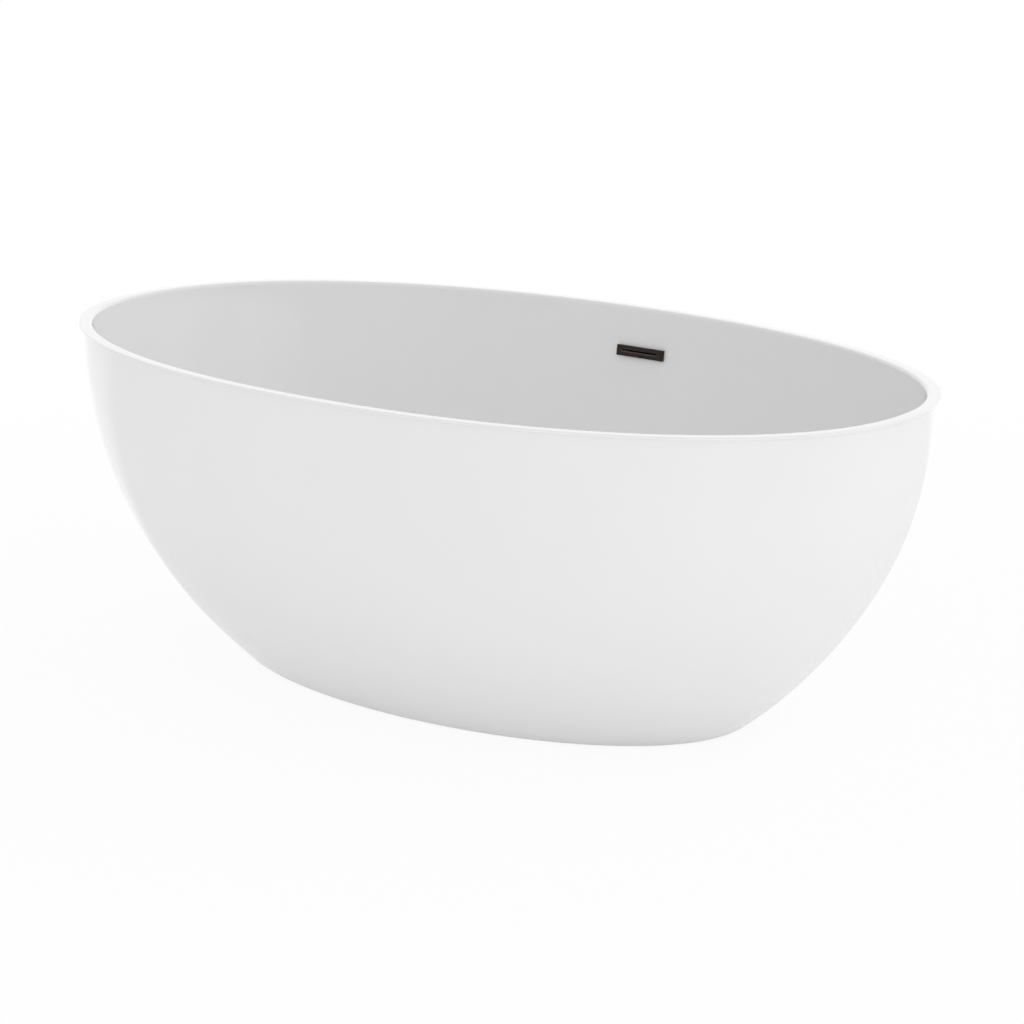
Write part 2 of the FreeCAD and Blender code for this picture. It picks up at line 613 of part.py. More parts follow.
def overflow_screws():
    """Two small screws from the plate's lugs, through the wall, into the duct's flange."""
    seat = LUG_BOTTOM + LUG_THICKNESS
    screws = []
    for x in (-OVERFLOW_SCREW_X, OVERFLOW_SCREW_X):
        shank = tube(OVERFLOW_SCREW_RADIUS, 0, flange_back() - 1, seat, x)
        screws.append(at_overflow(shank.fuse(tube(OVERFLOW_HEAD_RADIUS, 0, seat, seat + SCREW_TOP, x))))
    return group(screws)


def rounded_path(points):
    """Straight runs joined by tangent arcs, each as large as its two runs allow."""
    edges, start = [], points[0]
    for before, corner, after in zip(points, points[1:], points[2:]):
        back, ahead = before - corner, after - corner
        trim = BEND_SHARE * min(back.Length, ahead.Length)
        half_turn = (math.pi - back.getAngle(ahead)) / 2
        back.normalize()
        ahead.normalize()
        first, last = corner + back * trim, corner + ahead * trim
        radius = trim / math.tan(half_turn)
        inward = (back + ahead).normalize()
        middle = corner + inward * (radius / math.cos(half_turn) - radius)
        edges += [Part.makeLine(start, first), Part.Arc(first, middle, last).toShape()]
        start = last
    edges.append(Part.makeLine(start, points[-1]))
    return Part.Wire(edges)


def overflow_pipe():
    """Bent pipe from the duct's socket, down between the shells and in to the tee."""
    top = V(0, *SOCKET_TOP)
    start = top + socket_axis() * PIPE_START
    points = [start, top + socket_axis() * PIPE_DROP]
    points += [V(0, y, z) for y, z in PIPE_ROUTE] + [V(0, BRANCH_END - PIPE_SOCKET_DEPTH, BRANCH_Z)]
    path = rounded_path(points)
    skins = []
    for radius in (PIPE_RADIUS, PIPE_BORE):
        section = Part.Wire(Part.makeCircle(radius, start, points[1] - start))
        skins.append(path.makePipeShell([section], True, False))
    return skins[0].cut(skins[1])


def pipe_washer():
    return washer(BRANCH_RADIUS - 0.5, PIPE_RADIUS, PIPE_WASHER_LENGTH, V(0, BRANCH_END, BRANCH_Z), Y_AXIS)


def pipe_nut():
    mouth = V(0, BRANCH_END + PIPE_NUT_OVERLAP, BRANCH_Z)
    return slip_nut(BRANCH_RADIUS, PIPE_RADIUS, PIPE_NUT_LENGTH, mouth, -Y_AXIS)


# ---- all sub-parts -------------------------------------------------------------------
def sub_parts():
    shell = basin()
    shapes = {
        "basin": shell,
        "skirt": skirt(),
        "base_board": base_board(),
        "frame_rail_front": frame_rail(-1),
        "frame_rail_back": frame_rail(1),
        "frame_cross_bars": frame_cross_bars(),
        "frame_screws": frame_screws(),
        "foot_plates": foot_plates(),
        "weld_nuts": stud_nuts(FOOT_PLATE_BOTTOM, NUT_HEIGHT),
        "lock_nuts": stud_nuts(FOOT_PLATE_BOTTOM - NUT_HEIGHT, LOCK_NUT_HEIGHT),
        "skirt_ties": skirt_ties(),
        "drain_flange": drain_flange(),
        "drain_gasket_top": drain_gasket_top(),
        "drain_gasket_bottom": drain_gasket_bottom(),
        "drain_tee": drain_tee(),
        "tailpiece": tailpiece(),
        "tailpiece_washer": tailpiece_washer(),
        "tailpiece_nut": tailpiece_nut(),
        "stopper_cap": stopper_cap(),
        "stopper_seal": stopper_seal(),
        "stopper_plunger": stopper_plunger(),
        "stopper_cartridge": stopper_cartridge(),
        "stopper_spring": stopper_spring(),
        "overflow_plate": overflow_plate(shell),
        "overflow_gasket": overflow_gasket(shell),
        "overflow_duct": overflow_duct(),
        "overflow_screws": overflow_screws(),
        "overflow_pipe": overflow_pipe(),
        "pipe_washer": pipe_washer(),
        "pipe_nut": pipe_nut(),
    }
    for place, (x, y) in foot_places().items():
        shapes[f"foot_pad_{place}"] = foot_pad(x, y)
        shapes[f"foot_stud_{place}"] = foot_stud(x, y)
    return shapes


def main():
    os.makedirs("parts", exist_ok=True)
    for name, shape in sub_parts().items():
        print(name, "valid" if shape.isValid() else "NOT VALID", len(shape.Solids), round(shape.Volume / 1000, 1))
        shape.exportStep(f"parts/{name}.step")


main()
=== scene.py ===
"""Freestanding bathtub: the surfaces, finishes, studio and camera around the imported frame.

Lengths in the code are millimetres unless a name says otherwise; ``place_mesh`` turns them into metres.
"""
import logging
import math
from dataclasses import dataclass, field
from enum import Enum

import bmesh
import bpy
import numpy as np
from mathutils import Matrix, Vector


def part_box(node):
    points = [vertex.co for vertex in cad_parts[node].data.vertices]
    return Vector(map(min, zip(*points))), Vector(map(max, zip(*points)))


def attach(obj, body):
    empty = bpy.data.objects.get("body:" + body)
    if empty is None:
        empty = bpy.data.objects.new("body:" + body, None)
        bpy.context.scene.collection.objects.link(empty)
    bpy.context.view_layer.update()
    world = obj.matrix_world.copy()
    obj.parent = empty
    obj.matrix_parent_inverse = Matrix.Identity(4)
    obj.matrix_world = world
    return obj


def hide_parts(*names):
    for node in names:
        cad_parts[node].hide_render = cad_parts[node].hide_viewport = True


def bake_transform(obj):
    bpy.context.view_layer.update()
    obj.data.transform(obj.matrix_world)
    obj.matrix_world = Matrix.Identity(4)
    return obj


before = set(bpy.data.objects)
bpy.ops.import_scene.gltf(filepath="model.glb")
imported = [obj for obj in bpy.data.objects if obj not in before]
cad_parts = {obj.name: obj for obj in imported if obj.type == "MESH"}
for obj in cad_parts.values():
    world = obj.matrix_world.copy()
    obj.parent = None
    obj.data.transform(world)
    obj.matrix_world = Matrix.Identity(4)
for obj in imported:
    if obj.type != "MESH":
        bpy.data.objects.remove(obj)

log = logging.getLogger("bathtub")

MM = 0.001
SMOOTH_ANGLE = math.radians(38)
LEAST_CORNER = 0.05
Array = np.ndarray
Ring = tuple[float, float, float, float]


# ---- small tools ----------------------------------------------------------------------
def linear_rgba(hex_colour: str) -> tuple[float, float, float, float]:
    """Linear colour of an sRGB hex value.

    Args:
        hex_colour: six hex digits.

    Returns:
        Red, green, blue and an alpha of 1.
    """
    srgb = np.array([int(hex_colour[i:i + 2], 16) for i in (0, 2, 4)]) / 255.0
    lin = np.where(srgb <= 0.04045, srgb / 12.92, ((srgb + 0.055) / 1.055) ** 2.4)
    return (*(float(c) for c in lin), 1.0)


def add_node(tree: bpy.types.NodeTree, kind: str, links: dict | None = None,
             values: dict | None = None, **settings) -> bpy.types.Node:
    """Add a shader node.

    Args:
        tree: the node tree that gets it.
        kind: the node's type name.
        links: socket name or number to the output socket that feeds it.
        values: socket name or number to its constant value.
        settings: the node's own properties.

    Returns:
        The new node.
    """
    node = tree.nodes.new(kind)
    for name, value in settings.items():
        setattr(node, name, value)
    for socket, value in (values or {}).items():
        node.inputs[socket].default_value = value
    for socket, source in (links or {}).items():
        tree.links.new(source, node.inputs[socket])
    return node


def box_mm(node: str) -> tuple[Array, Array]:
    """Lowest and highest corner of a CAD node in millimetres."""
    low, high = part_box(node)
    return np.array(low) / MM, np.array(high) / MM


def grid_faces(rows: int, columns: int, wrap_rows: bool, wrap_columns: bool) -> Array:
    """Quads between neighbouring points of a grid: (r, c), (r, c+1), (r+1, c+1), (r+1, c), modulo its size.

    Args:
        rows: points along the first parameter.
        columns: points along the second parameter.
        wrap_rows: whether the last row joins the first.
        wrap_columns: whether the last column joins the first.

    Returns:
        Vertex numbers, shape (quad rows, quad columns, 4).
    """
    r = np.arange(rows if wrap_rows else rows - 1)[:, None]
    c = np.arange(columns if wrap_columns else columns - 1)[None, :]
    r2, c2 = (r + 1) % rows, (c + 1) % columns
    corners = (r * columns + c, r * columns + c2, r2 * columns + c2, r2 * columns + c)
    return np.stack(np.broadcast_arrays(*corners), -1)


def outward(points: Array, faces: Array) -> Array:
    """Turn faces round where their volume, the sum of v0 . (v1 x v2) / 6 over triangles, is negative."""
    middle = points.mean(0)
    corner = points[faces] - middle
    fan = sum(np.einsum("ij,ij->i", corner[:, 0], np.cross(corner[:, i], corner[:, i + 1])) for i in (1, 2))
    return faces[:, ::-1] if fan.sum() < 0 else faces


def place_mesh(name: str, points: Array, faces: Array, materials: list[bpy.types.Material],
               slots: Array | None = None) -> bpy.types.Object:
    """Make a closed mesh object, facing outwards, from points in millimetres.

    Points that coincide are merged, which closes poles.

    Args:
        name: object name.
        points: vertex positions, shape (n, 3).
        faces: quads, shape (m, 4).
        materials: the mesh's material slots.
        slots: material slot number of each face.

    Returns:
        The new object, at the world origin.
    """
    faces = outward(points, faces)
    mesh = bpy.data.meshes.new(name)
    mesh.from_pydata((points * MM).tolist(), [], faces.tolist())
    if slots is not None:
        mesh.polygons.foreach_set("material_index", slots.astype(np.int32))
    welded = bmesh.new()
    welded.from_mesh(mesh)
    bmesh.ops.remove_doubles(welded, verts=welded.verts, dist=1e-7)
    welded.to_mesh(mesh)
    welded.free()
    mesh.shade_smooth()
    mesh.set_sharp_from_angle(angle=SMOOTH_ANGLE)
    piece = bpy.data.objects.new(name, mesh)
    bpy.context.scene.collection.objects.link(piece)
    for material in materials:
        mesh.materials.append(material)
    return piece


def surface(name: str, grid: Array, material: bpy.types.Material, wrap_rows: bool = True) -> bpy.types.Object:
    """A closed surface from a grid whose columns go round; its rows also join, or else end in poles."""
    faces = grid_faces(grid.shape[0], grid.shape[1], wrap_rows, True)
    return place_mesh(name, grid.reshape(-1, 3), faces.reshape(-1, 4), [material])


def combined(grids: list[Array], wraps: list[bool]) -> tuple[Array, Array]:
    """Points and faces of several closed surfaces, each turned to look outwards by its own signed volume.

    Args:
        grids: the surfaces; their columns go round.
        wraps: whether each one's rows join too.

    Returns:
        All points, and all faces numbered among them.
    """
    points, faces, start = [], [], 0
    for grid, wrap in zip(grids, wraps):
        flat = grid.reshape(-1, 3)
        quads = outward(flat, grid_faces(grid.shape[0], grid.shape[1], wrap, True).reshape(-1, 4))
        points.append(flat)
        faces.append(quads + start)
        start += len(flat)
    return np.concatenate(points), np.concatenate(faces)


def joined(name: str, grids: list[Array], material: bpy.types.Material) -> bpy.types.Object:
    """Several closed rings of one piece in one mesh."""
    points, faces = combined(grids, [True] * len(grids))
    return place_mesh(name, points, faces, [material])


def softened(outline: list[tuple[float, float]], radius: float, steps: int = 4, closed: bool = True) -> Array:
    """Outline with soft corners.

    Each corner becomes a parabola from the point one trim before it to the point one trim after it,
    (1-s)^2 A + 2s(1-s) P + s^2 B, with the trim at most 0.45 of the shorter side there.

    Args:
        outline: (radius, height) corners.
        radius: size of the softening.
        steps: points along each corner.
        closed: whether the outline goes round; if not, its first and last point stay sharp.

    Returns:
        Points, shape (n, 2).
    """
    corner = np.array(outline, float)
    back, ahead = np.roll(corner, 1, 0) - corner, np.roll(corner, -1, 0) - corner
    back_length = np.linalg.norm(back, axis=1, keepdims=True)
    ahead_length = np.linalg.norm(ahead, axis=1, keepdims=True)
    trim = np.minimum(radius, 0.45 * np.minimum(back_length, ahead_length))
    start, end = corner + back / back_length * trim, corner + ahead / ahead_length * trim
    s = np.linspace(0, 1, steps)[None, :, None]
    curve = (1 - s) ** 2 * start[:, None] + 2 * s * (1 - s) * corner[:, None] + s ** 2 * end[:, None]
    if closed:
        return curve.reshape(-1, 2)
    return np.concatenate([corner[:1], curve[1:-1].reshape(-1, 2), corner[-1:]])


def lathe(profile: Array, sides: int = 96, centre: tuple[float, float] = (0.0, 0.0)) -> Array:
    """Grid of a (radius, height) profile turned about the vertical: x = r cos t, y = r sin t, z = h."""
    turn = np.linspace(0, 2 * math.pi, sides, endpoint=False)
    x = profile[:, :1] * np.cos(turn) + centre[0]
    y = profile[:, :1] * np.sin(turn) + centre[1]
    return np.stack([x, y, np.broadcast_to(profile[:, 1:], x.shape)], -1)


def oriented(grid: Array, origin: tuple[float, float, float], axis: tuple[float, float, float]) -> Array:
    """Turn a grid that stands on the vertical so that it stands on origin along axis."""
    turn = np.array(Vector(axis).to_track_quat("Z", "Y").to_matrix())
    return grid @ turn.T + np.array(origin)


def carried(section: Array, path: Array, upright: tuple[float, float, float]) -> Array:
    """Grid of a closed section carried along a path.

    At each path point the section's x goes along tangent x upright and its y along the third direction.

    Args:
        section: closed outline, shape (m, 2).
        path: points, shape (n, 3).
        upright: a direction that the path never runs along.

    Returns:
        Grid of shape (n, m, 3).
    """
    tangent = np.gradient(path, axis=0)
    tangent /= np.linalg.norm(tangent, axis=1, keepdims=True)
    side = np.cross(tangent, np.array(upright))
    side /= np.linalg.norm(side, axis=1, keepdims=True)
    third = np.cross(tangent, side)
    return path[:, None] + section[None, :, :1] * side[:, None] + section[None, :, 1:] * third[:, None]


def circle(radius: float, sides: int = 32) -> Array:
    """Points of a circle: (r cos t, r sin t)."""
    turn = np.linspace(0, 2 * math.pi, sides, endpoint=False)
    return radius * np.stack([np.cos(turn), np.sin(turn)], -1)


def soft_rectangle(width: float, height: float, radius: float, corner_steps: int = 5,
                   side_steps: int = 6) -> Array:
    """Rectangle outline with quarter-circle corners and evenly spaced points along its sides.

    Args:
        width: size along x.
        height: size along y.
        radius: corner radius.
        corner_steps: points on each corner.
        side_steps: points along each side between two corners.

    Returns:
        Points, shape (4 x (corner_steps + side_steps), 2).
    """
    radius = min(radius, width / 2 - 1e-3, height / 2 - 1e-3)
    turn = np.linspace(0, math.pi / 2, corner_steps)[None, :] + np.arange(4)[:, None] * math.pi / 2
    sign = np.array([(1, 1), (-1, 1), (-1, -1), (1, -1)])
    centre = sign * np.array([width / 2 - radius, height / 2 - radius])
    corners = centre[:, None] + radius * np.stack([np.cos(turn), np.sin(turn)], -1)
    share = np.linspace(0, 1, side_steps + 2)[1:-1][None, :, None]
    sides = corners[:, -1:] * (1 - share) + np.roll(corners, -1, 0)[:, :1] * share
    return np.concatenate([corners, sides], 1).reshape(-1, 2)


def stacked(loops: list[tuple[Array, float | Array]]) -> Array:
    """Grid whose rows are outlines with the same number of points, each at its own height or heights."""
    return np.stack([np.column_stack([loop, np.broadcast_to(height, len(loop))]) for loop, height in loops])


def soft_box(size: tuple[float, float, float], centre: tuple[float, float, float], radius: float) -> Array:
    """Closed box with round edges: soft rectangles pulled in by r (1 - sin a) at the height r (1 - cos a).

    Args:
        size: width, depth and height.
        centre: middle of the box.
        radius: edge radius.

    Returns:
        Grid with a pole at each end.
    """
    width, depth, height = size
    turn = np.linspace(0, math.pi / 2, 4)
    pull, climb = radius * (1 - np.sin(turn)), radius * (1 - np.cos(turn))
    low = [(soft_rectangle(width - 2 * p, depth - 2 * p, max(radius - p, LEAST_CORNER)), c)
           for p, c in zip(pull, climb)]
    high = [(loop, height - c) for loop, c in reversed(low)]
    return capped(stacked(low + high)) + np.array(centre) - np.array([0, 0, height / 2])


def nut_grid(sides: int, across_flats: float, bore: float, bottom: float, top: float,
             centre: tuple[float, float] = (0.0, 0.0), chamfer: float = 1.2) -> Array:
    """Nut: r = (f/2) / cos(((t + k) mod 2k) - k) with k = pi / sides, cut by a 30 degree cone at both faces.

    Args:
        sides: number of flats.
        across_flats: f.
        bore: radius of the hole.
        bottom: height of the lower face.
        top: height of the upper face.
        centre: x and y of its axis.
        chamfer: depth to which the cone reaches.

    Returns:
        Closed grid whose rows go round the wall and back through the bore.
    """
    turn = np.linspace(0, 2 * math.pi, sides * 12, endpoint=False)
    k = math.pi / sides
    flat = across_flats / 2 / np.cos((turn + k) % (2 * k) - k)
    depth = np.array([0, 0.3, 0.65, 1.0]) * chamfer
    heights = np.concatenate([bottom + depth, top - depth[::-1]])
    depths = np.concatenate([depth, depth[::-1]])
    cone = across_flats / 2 - 0.25 + depths * math.sqrt(3)
    outer = np.minimum(flat[None], cone[:, None])
    inner_height = np.array([top, top - 0.5, bottom + 0.5, bottom])
    inner = np.broadcast_to(np.array([bore + 0.5, bore, bore, bore + 0.5])[:, None], (4, len(turn)))
    radius = np.concatenate([outer, inner])
    height = np.broadcast_to(np.concatenate([heights, inner_height])[:, None], radius.shape)
    return np.stack([radius * np.cos(turn) + centre[0], radius * np.sin(turn) + centre[1], height], -1)


def capped(grid: Array) -> Array:
    """Close both ends of a grid of loops with a pole at each loop's middle."""
    low = np.broadcast_to(grid[:1].mean(1, keepdims=True), grid[:1].shape)
    high = np.broadcast_to(grid[-1:].mean(1, keepdims=True), grid[-1:].shape)
    return np.concatenate([low, grid, high])


def hollow(grid_outer: Array, grid_inner: Array) -> Array:
    """Tube wall: the outer rows one way and the inner rows back, to be joined at both ends."""
    return np.concatenate([grid_outer, grid_inner[::-1]])


# ---- finishes -------------------------------------------------------------------------
class Finish:
    """A real material and how its surface was made. Patterns are in millimetres on Object coordinates."""

    name: str

    def begin(self) -> tuple[bpy.types.Material, bpy.types.NodeTree, bpy.types.Node, bpy.types.NodeSocket]:
        """Empty material, its tree, its shader and the object position in metres."""
        material = bpy.data.materials.new(self.name)
        material.use_nodes = True
        tree = material.node_tree
        tree.nodes.clear()
        shader = add_node(tree, "ShaderNodeBsdfPrincipled")
        add_node(tree, "ShaderNodeOutputMaterial", {"Surface": shader.outputs["BSDF"]})
        return material, tree, shader, add_node(tree, "ShaderNodeTexCoord").outputs["Object"]

    @staticmethod
    def grain(tree: bpy.types.NodeTree, position: bpy.types.NodeSocket, size_mm: float, detail: float = 3.0,
              stretch: tuple[float, float, float] = (1, 1, 1)) -> bpy.types.NodeSocket:
        """Noise whose features are about size_mm across, drawn out along an axis by its stretch."""
        scaled = add_node(tree, "ShaderNodeMapping", {"Vector": position},
                          {"Scale": tuple(1 / s for s in stretch)})
        noise = add_node(tree, "ShaderNodeTexNoise", {"Vector": scaled.outputs[0]},
                         {"Scale": 1.0 / (size_mm * MM), "Detail": detail, "Roughness": 0.55})
        return noise.outputs["Fac"]

    @staticmethod
    def spread(tree: bpy.types.NodeTree, source: bpy.types.NodeSocket, low: float, high: float,
               start: float = 0.3, end: float = 0.7) -> bpy.types.NodeSocket:
        """Stretch a pattern's values from start..end to low..high, smoothly and without overshoot."""
        node = add_node(tree, "ShaderNodeMapRange", {"Value": source},
                        {"From Min": start, "From Max": end, "To Min": low, "To Max": high},
                        interpolation_type="SMOOTHSTEP")
        return node.outputs["Result"]

    @staticmethod
    def blend(tree: bpy.types.NodeTree, factor: bpy.types.NodeSocket, first: str,
              second: str) -> bpy.types.NodeSocket:
        """Colour that goes from one hex value to another with a pattern."""
        node = add_node(tree, "ShaderNodeMix", {"Factor": factor},
                        {6: linear_rgba(first), 7: linear_rgba(second)}, data_type="RGBA")
        return node.outputs[2]

    @staticmethod
    def relief(tree: bpy.types.NodeTree, shader: bpy.types.Node, height: bpy.types.NodeSocket,
               depth_mm: float, strength: float = 1.0) -> None:
        """Bump of the given depth on the shader."""
        bump = add_node(tree, "ShaderNodeBump", {"Height": height},
                        {"Distance": depth_mm * MM, "Strength": strength})
        tree.links.new(bump.outputs["Normal"], shader.inputs["Normal"])


@dataclass(frozen=True)
class SanitaryAcrylic(Finish):
    """Cast acrylic sheet, vacuum formed and left as formed: glass-clear gloss over an even white body.

    Drawing the sheet over the mould leaves a very long, shallow waviness that softens reflections.
    """

    name: str = "sanitary_acrylic_vacuum_formed"
    body: str = "F3F3F3"
    body_warm: str = "F1F1F1"
    gloss: tuple[float, float] = (0.05, 0.08)
    wave_mm: float = 160.0
    wave_depth_mm: float = 0.04

    def build(self) -> bpy.types.Material:
        """The finished material."""
        material, tree, shader, position = self.begin()
        wave = self.grain(tree, position, self.wave_mm, 1.0)
        wiped = self.grain(tree, position, 35.0, 4.0)
        tree.links.new(self.blend(tree, wave, self.body, self.body_warm), shader.inputs["Base Color"])
        tree.links.new(self.spread(tree, wiped, *self.gloss), shader.inputs["Roughness"])
        shader.inputs["IOR"].default_value = 1.49
        self.relief(tree, shader, wave, self.wave_depth_mm)
        return material


@dataclass(frozen=True)
class GlassFibreBack(Finish):
    """Chopped-strand glass mat rolled out in polyester resin on the sheet's back: cloudy, ridged by strands.

    Strands are about 50 mm long; they are drawn 2 mm wide, several times their real width, so that they show.
    """

    name: str = "glass_fibre_laminate_rolled"
    resin: str = "CFC9B4"
    strand: str = "E9E6DA"
    strand_mm: float = 2.0

    def build(self) -> bpy.types.Material:
        """The finished material, from three layers of strands that lie different ways."""
        material, tree, shader, position = self.begin()
        total = None
        for turn in (0.2, 1.3, 2.4):
            laid = add_node(tree, "ShaderNodeMapping", {"Vector": position},
                            {"Rotation": (turn, 0.7 * turn, 1.9 * turn)})
            layer = self.grain(tree, laid.outputs[0], self.strand_mm, 2.0, (22.0, 1.0, 1.0))
            crisp = self.spread(tree, layer, 0.0, 1.0, 0.5, 0.62)
            total = crisp if total is None else add_node(tree, "ShaderNodeMath", {0: total, 1: crisp},
                                                         operation="MAXIMUM").outputs[0]
        tree.links.new(self.blend(tree, total, self.resin, self.strand), shader.inputs["Base Color"])
        rolled = self.grain(tree, position, 25.0)
        tree.links.new(self.spread(tree, rolled, 0.38, 0.6), shader.inputs["Roughness"])
        self.relief(tree, shader, total, 0.35)
        return material


@dataclass(frozen=True)
class OilRubbedBronze(Finish):
    """Brass, chemically darkened and oiled: near-black brown, worn a little lighter on its edges by rubbing.
    """

    name: str = "oil_rubbed_bronze"
    dark: str = "241F1F"
    brown: str = "302A2A"
    edge: str = "5A483F"

    def build(self) -> bpy.types.Material:
        """The finished material; the edge tone comes from how convex the surface is."""
        material, tree, shader, position = self.begin()
        cloud = self.grain(tree, position, 9.0, 4.0)
        convex = add_node(tree, "ShaderNodeNewGeometry").outputs["Pointiness"]
        wear_and_painted_highlight = self.spread(tree, convex, 0.0, 0.7, 0.52, 0.60)
        oiled = self.blend(tree, cloud, self.dark, self.brown)
        base = add_node(tree, "ShaderNodeMix", {"Factor": wear_and_painted_highlight, 6: oiled}, {7: linear_rgba(self.edge)},
                        data_type="RGBA")
        tree.links.new(base.outputs[2], shader.inputs["Base Color"])
        handled = self.grain(tree, position, 2.5)
        tree.links.new(self.spread(tree, handled, 0.34, 0.46), shader.inputs["Roughness"])
        shader.inputs["Metallic"].default_value = 0.6
        self.relief(tree, shader, self.grain(tree, position, 0.8), 0.02)
        return material


# The slot's lower lip, painted lighter: a painted highlight for the light its upward face catches; it reads
# as one thin lighter line.
SLOT_LIP_PAINTED_HIGHLIGHT = OilRubbedBronze("bronze_slot_lip_painted_highlight", "6B5A50", "7C6A5E", "8A776A")


@dataclass(frozen=True)
class PlainSurface(Finish):
    """A base for finishes that are one body colour with a fine grain: it holds what they share."""

    name: str
    low: str
    high: str
    rough: tuple[float, float]
    grain_mm: float
    depth_mm: float
    metallic: float = 0.0
    stretch: tuple[float, float, float] = (1, 1, 1)
    cloud_mm: float = 20.0

    def build(self) -> bpy.types.Material:
        """The finished material: a cloudy colour, a grained roughness and a fine relief."""
        material, tree, shader, position = self.begin()
        cloud = self.spread(tree, self.grain(tree, position, self.cloud_mm, 4.0), 0.0, 1.0)
        fine = self.grain(tree, position, self.grain_mm, 3.0, self.stretch)
        tree.links.new(self.blend(tree, cloud, self.low, self.high), shader.inputs["Base Color"])
        tree.links.new(self.spread(tree, fine, *self.rough), shader.inputs["Roughness"])
        shader.inputs["Metallic"].default_value = self.metallic
        self.relief(tree, shader, fine, self.depth_mm)
        return material


# Powder coat over steel tube: dark grey, with the fine orange peel that baked powder has.
POWDER_COAT = PlainSurface("powder_coated_steel", "2E3133", "373A3D", (0.42, 0.55), 1.6, 0.06)
# Zinc plating, passivated: pale grey metal with a faint cloudy tone and drawn marks along the stud.
ZINC_PLATE = PlainSurface("zinc_plated_steel", "B4B6B4", "CFCFC8", (0.26, 0.42), 1.2, 0.02, 1.0, cloud_mm=6.0)
# Turned brass, unlacquered: yellow metal with fine rings.
TURNED_BRASS = PlainSurface("turned_brass", "B08A45", "C9A45C", (0.22, 0.36), 0.9, 0.02, 1.0, (6, 6, 1), 8.0)
# Hard-drawn spring wire: grey, fairly bright.
SPRING_WIRE = PlainSurface("drawn_spring_wire", "8E9294", "A9ADAF", (0.25, 0.35), 0.6, 0.01, 1.0)
# Natural rubber, compression moulded: dull black with a fine bloom.
MOULDED_RUBBER = PlainSurface("moulded_rubber", "1B1B1B", "262626", (0.62, 0.8), 0.9, 0.03)
# Black ABS, injection moulded with a light spark texture.
MOULDED_PLASTIC = PlainSurface("moulded_black_plastic", "202224", "292B2D", (0.38, 0.5), 0.7, 0.03)
# White plastic pipe, extruded: slight lines along its length.
EXTRUDED_PIPE = PlainSurface("extruded_white_pipe", "E2E2DD", "EAEAE6", (0.28, 0.4), 1.4, 0.02, 0.0,
                             (1, 1, 14))
# Blackened steel of the small overflow screws.
BLACK_OXIDE = PlainSurface("black_oxide_steel", "1D1B1A", "2B2826", (0.35, 0.5), 0.8, 0.01, 0.9)


@dataclass(frozen=True)
class ParticleBoard(Finish):
    """Pressed wood chips, 2 to 8 mm long, sealed with resin: mixed straw and brown flakes."""

    name: str = "pressed_particle_board"
    straw: str = "C8AD7A"
    brown: str = "8A683C"
    chip_mm: float = 5.0

    def build(self) -> bpy.types.Material:
        """The finished material: flat cells of one tone each, with their edges slightly sunk."""
        material, tree, shader, position = self.begin()
        flat = add_node(tree, "ShaderNodeMapping", {"Vector": position}, {"Scale": (1.0, 1.8, 4.0)})
        chips = add_node(tree, "ShaderNodeTexVoronoi", {"Vector": flat.outputs[0]},
                         {"Scale": 1.0 / (self.chip_mm * MM)})
        tone = add_node(tree, "ShaderNodeSeparateColor", {"Color": chips.outputs["Color"]}).outputs["Red"]
        tree.links.new(self.blend(tree, tone, self.straw, self.brown), shader.inputs["Base Color"])
        tree.links.new(self.spread(tree, tone, 0.6, 0.8, 0.0, 1.0), shader.inputs["Roughness"])
        self.relief(tree, shader, chips.outputs["Distance"], 0.2, 0.6)
        return material


@dataclass
class Palette:
    """Every finish, built once."""

    acrylic: bpy.types.Material = field(default_factory=lambda: SanitaryAcrylic().build())
    laminate: bpy.types.Material = field(default_factory=lambda: GlassFibreBack().build())
    bronze: bpy.types.Material = field(default_factory=lambda: OilRubbedBronze().build())
    # Lighter bronze of the slot's lower lip: a painted highlight.
    wear_and_painted_highlight: bpy.types.Material = field(default_factory=SLOT_LIP_PAINTED_HIGHLIGHT.build)
    powder: bpy.types.Material = field(default_factory=POWDER_COAT.build)
    zinc: bpy.types.Material = field(default_factory=ZINC_PLATE.build)
    brass: bpy.types.Material = field(default_factory=TURNED_BRASS.build)
    wire: bpy.types.Material = field(default_factory=SPRING_WIRE.build)
    rubber: bpy.types.Material = field(default_factory=MOULDED_RUBBER.build)
    plastic: bpy.types.Material = field(default_factory=MOULDED_PLASTIC.build)
    pipe: bpy.types.Material = field(default_factory=EXTRUDED_PIPE.build)
    black: bpy.types.Material = field(default_factory=BLACK_OXIDE.build)
    board: bpy.types.Material = field(default_factory=lambda: ParticleBoard().build())


def install(piece: bpy.types.Object, body: str, slot: str, *nodes: str) -> bpy.types.Object:
    """Put a finished piece in the frame.

    Args:
        piece: the new object.
        body: the CAD body it rides on.
        slot: the record's material slot; not used.
        nodes: the CAD nodes it stands for.

    Returns:
        The same object.
    """
    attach(piece, body)
    if nodes:
        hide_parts(*nodes)
    log.info("%s: %d vertices on %s, for %s", piece.name, len(piece.data.vertices), body,
             ", ".join(nodes) or "detail")
    return piece


def finish_node(node: str, material: bpy.types.Material) -> None:
    """Give a CAD node that keeps its shape its finish."""
    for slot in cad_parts[node].material_slots:
        slot.link, slot.material = "OBJECT", material
    log.info("%s: finished as %s", node, material.name)


# ---- the two shells -------------------------------------------------------------------
def rise(share: Array, powers: tuple[float, float]) -> Array:
    """How far a wall has opened out at a share of its height: (1 - (1 - s)^p)^(1/q)."""
    p, q = powers
    return (1.0 - (1.0 - share) ** p) ** (1.0 / q)


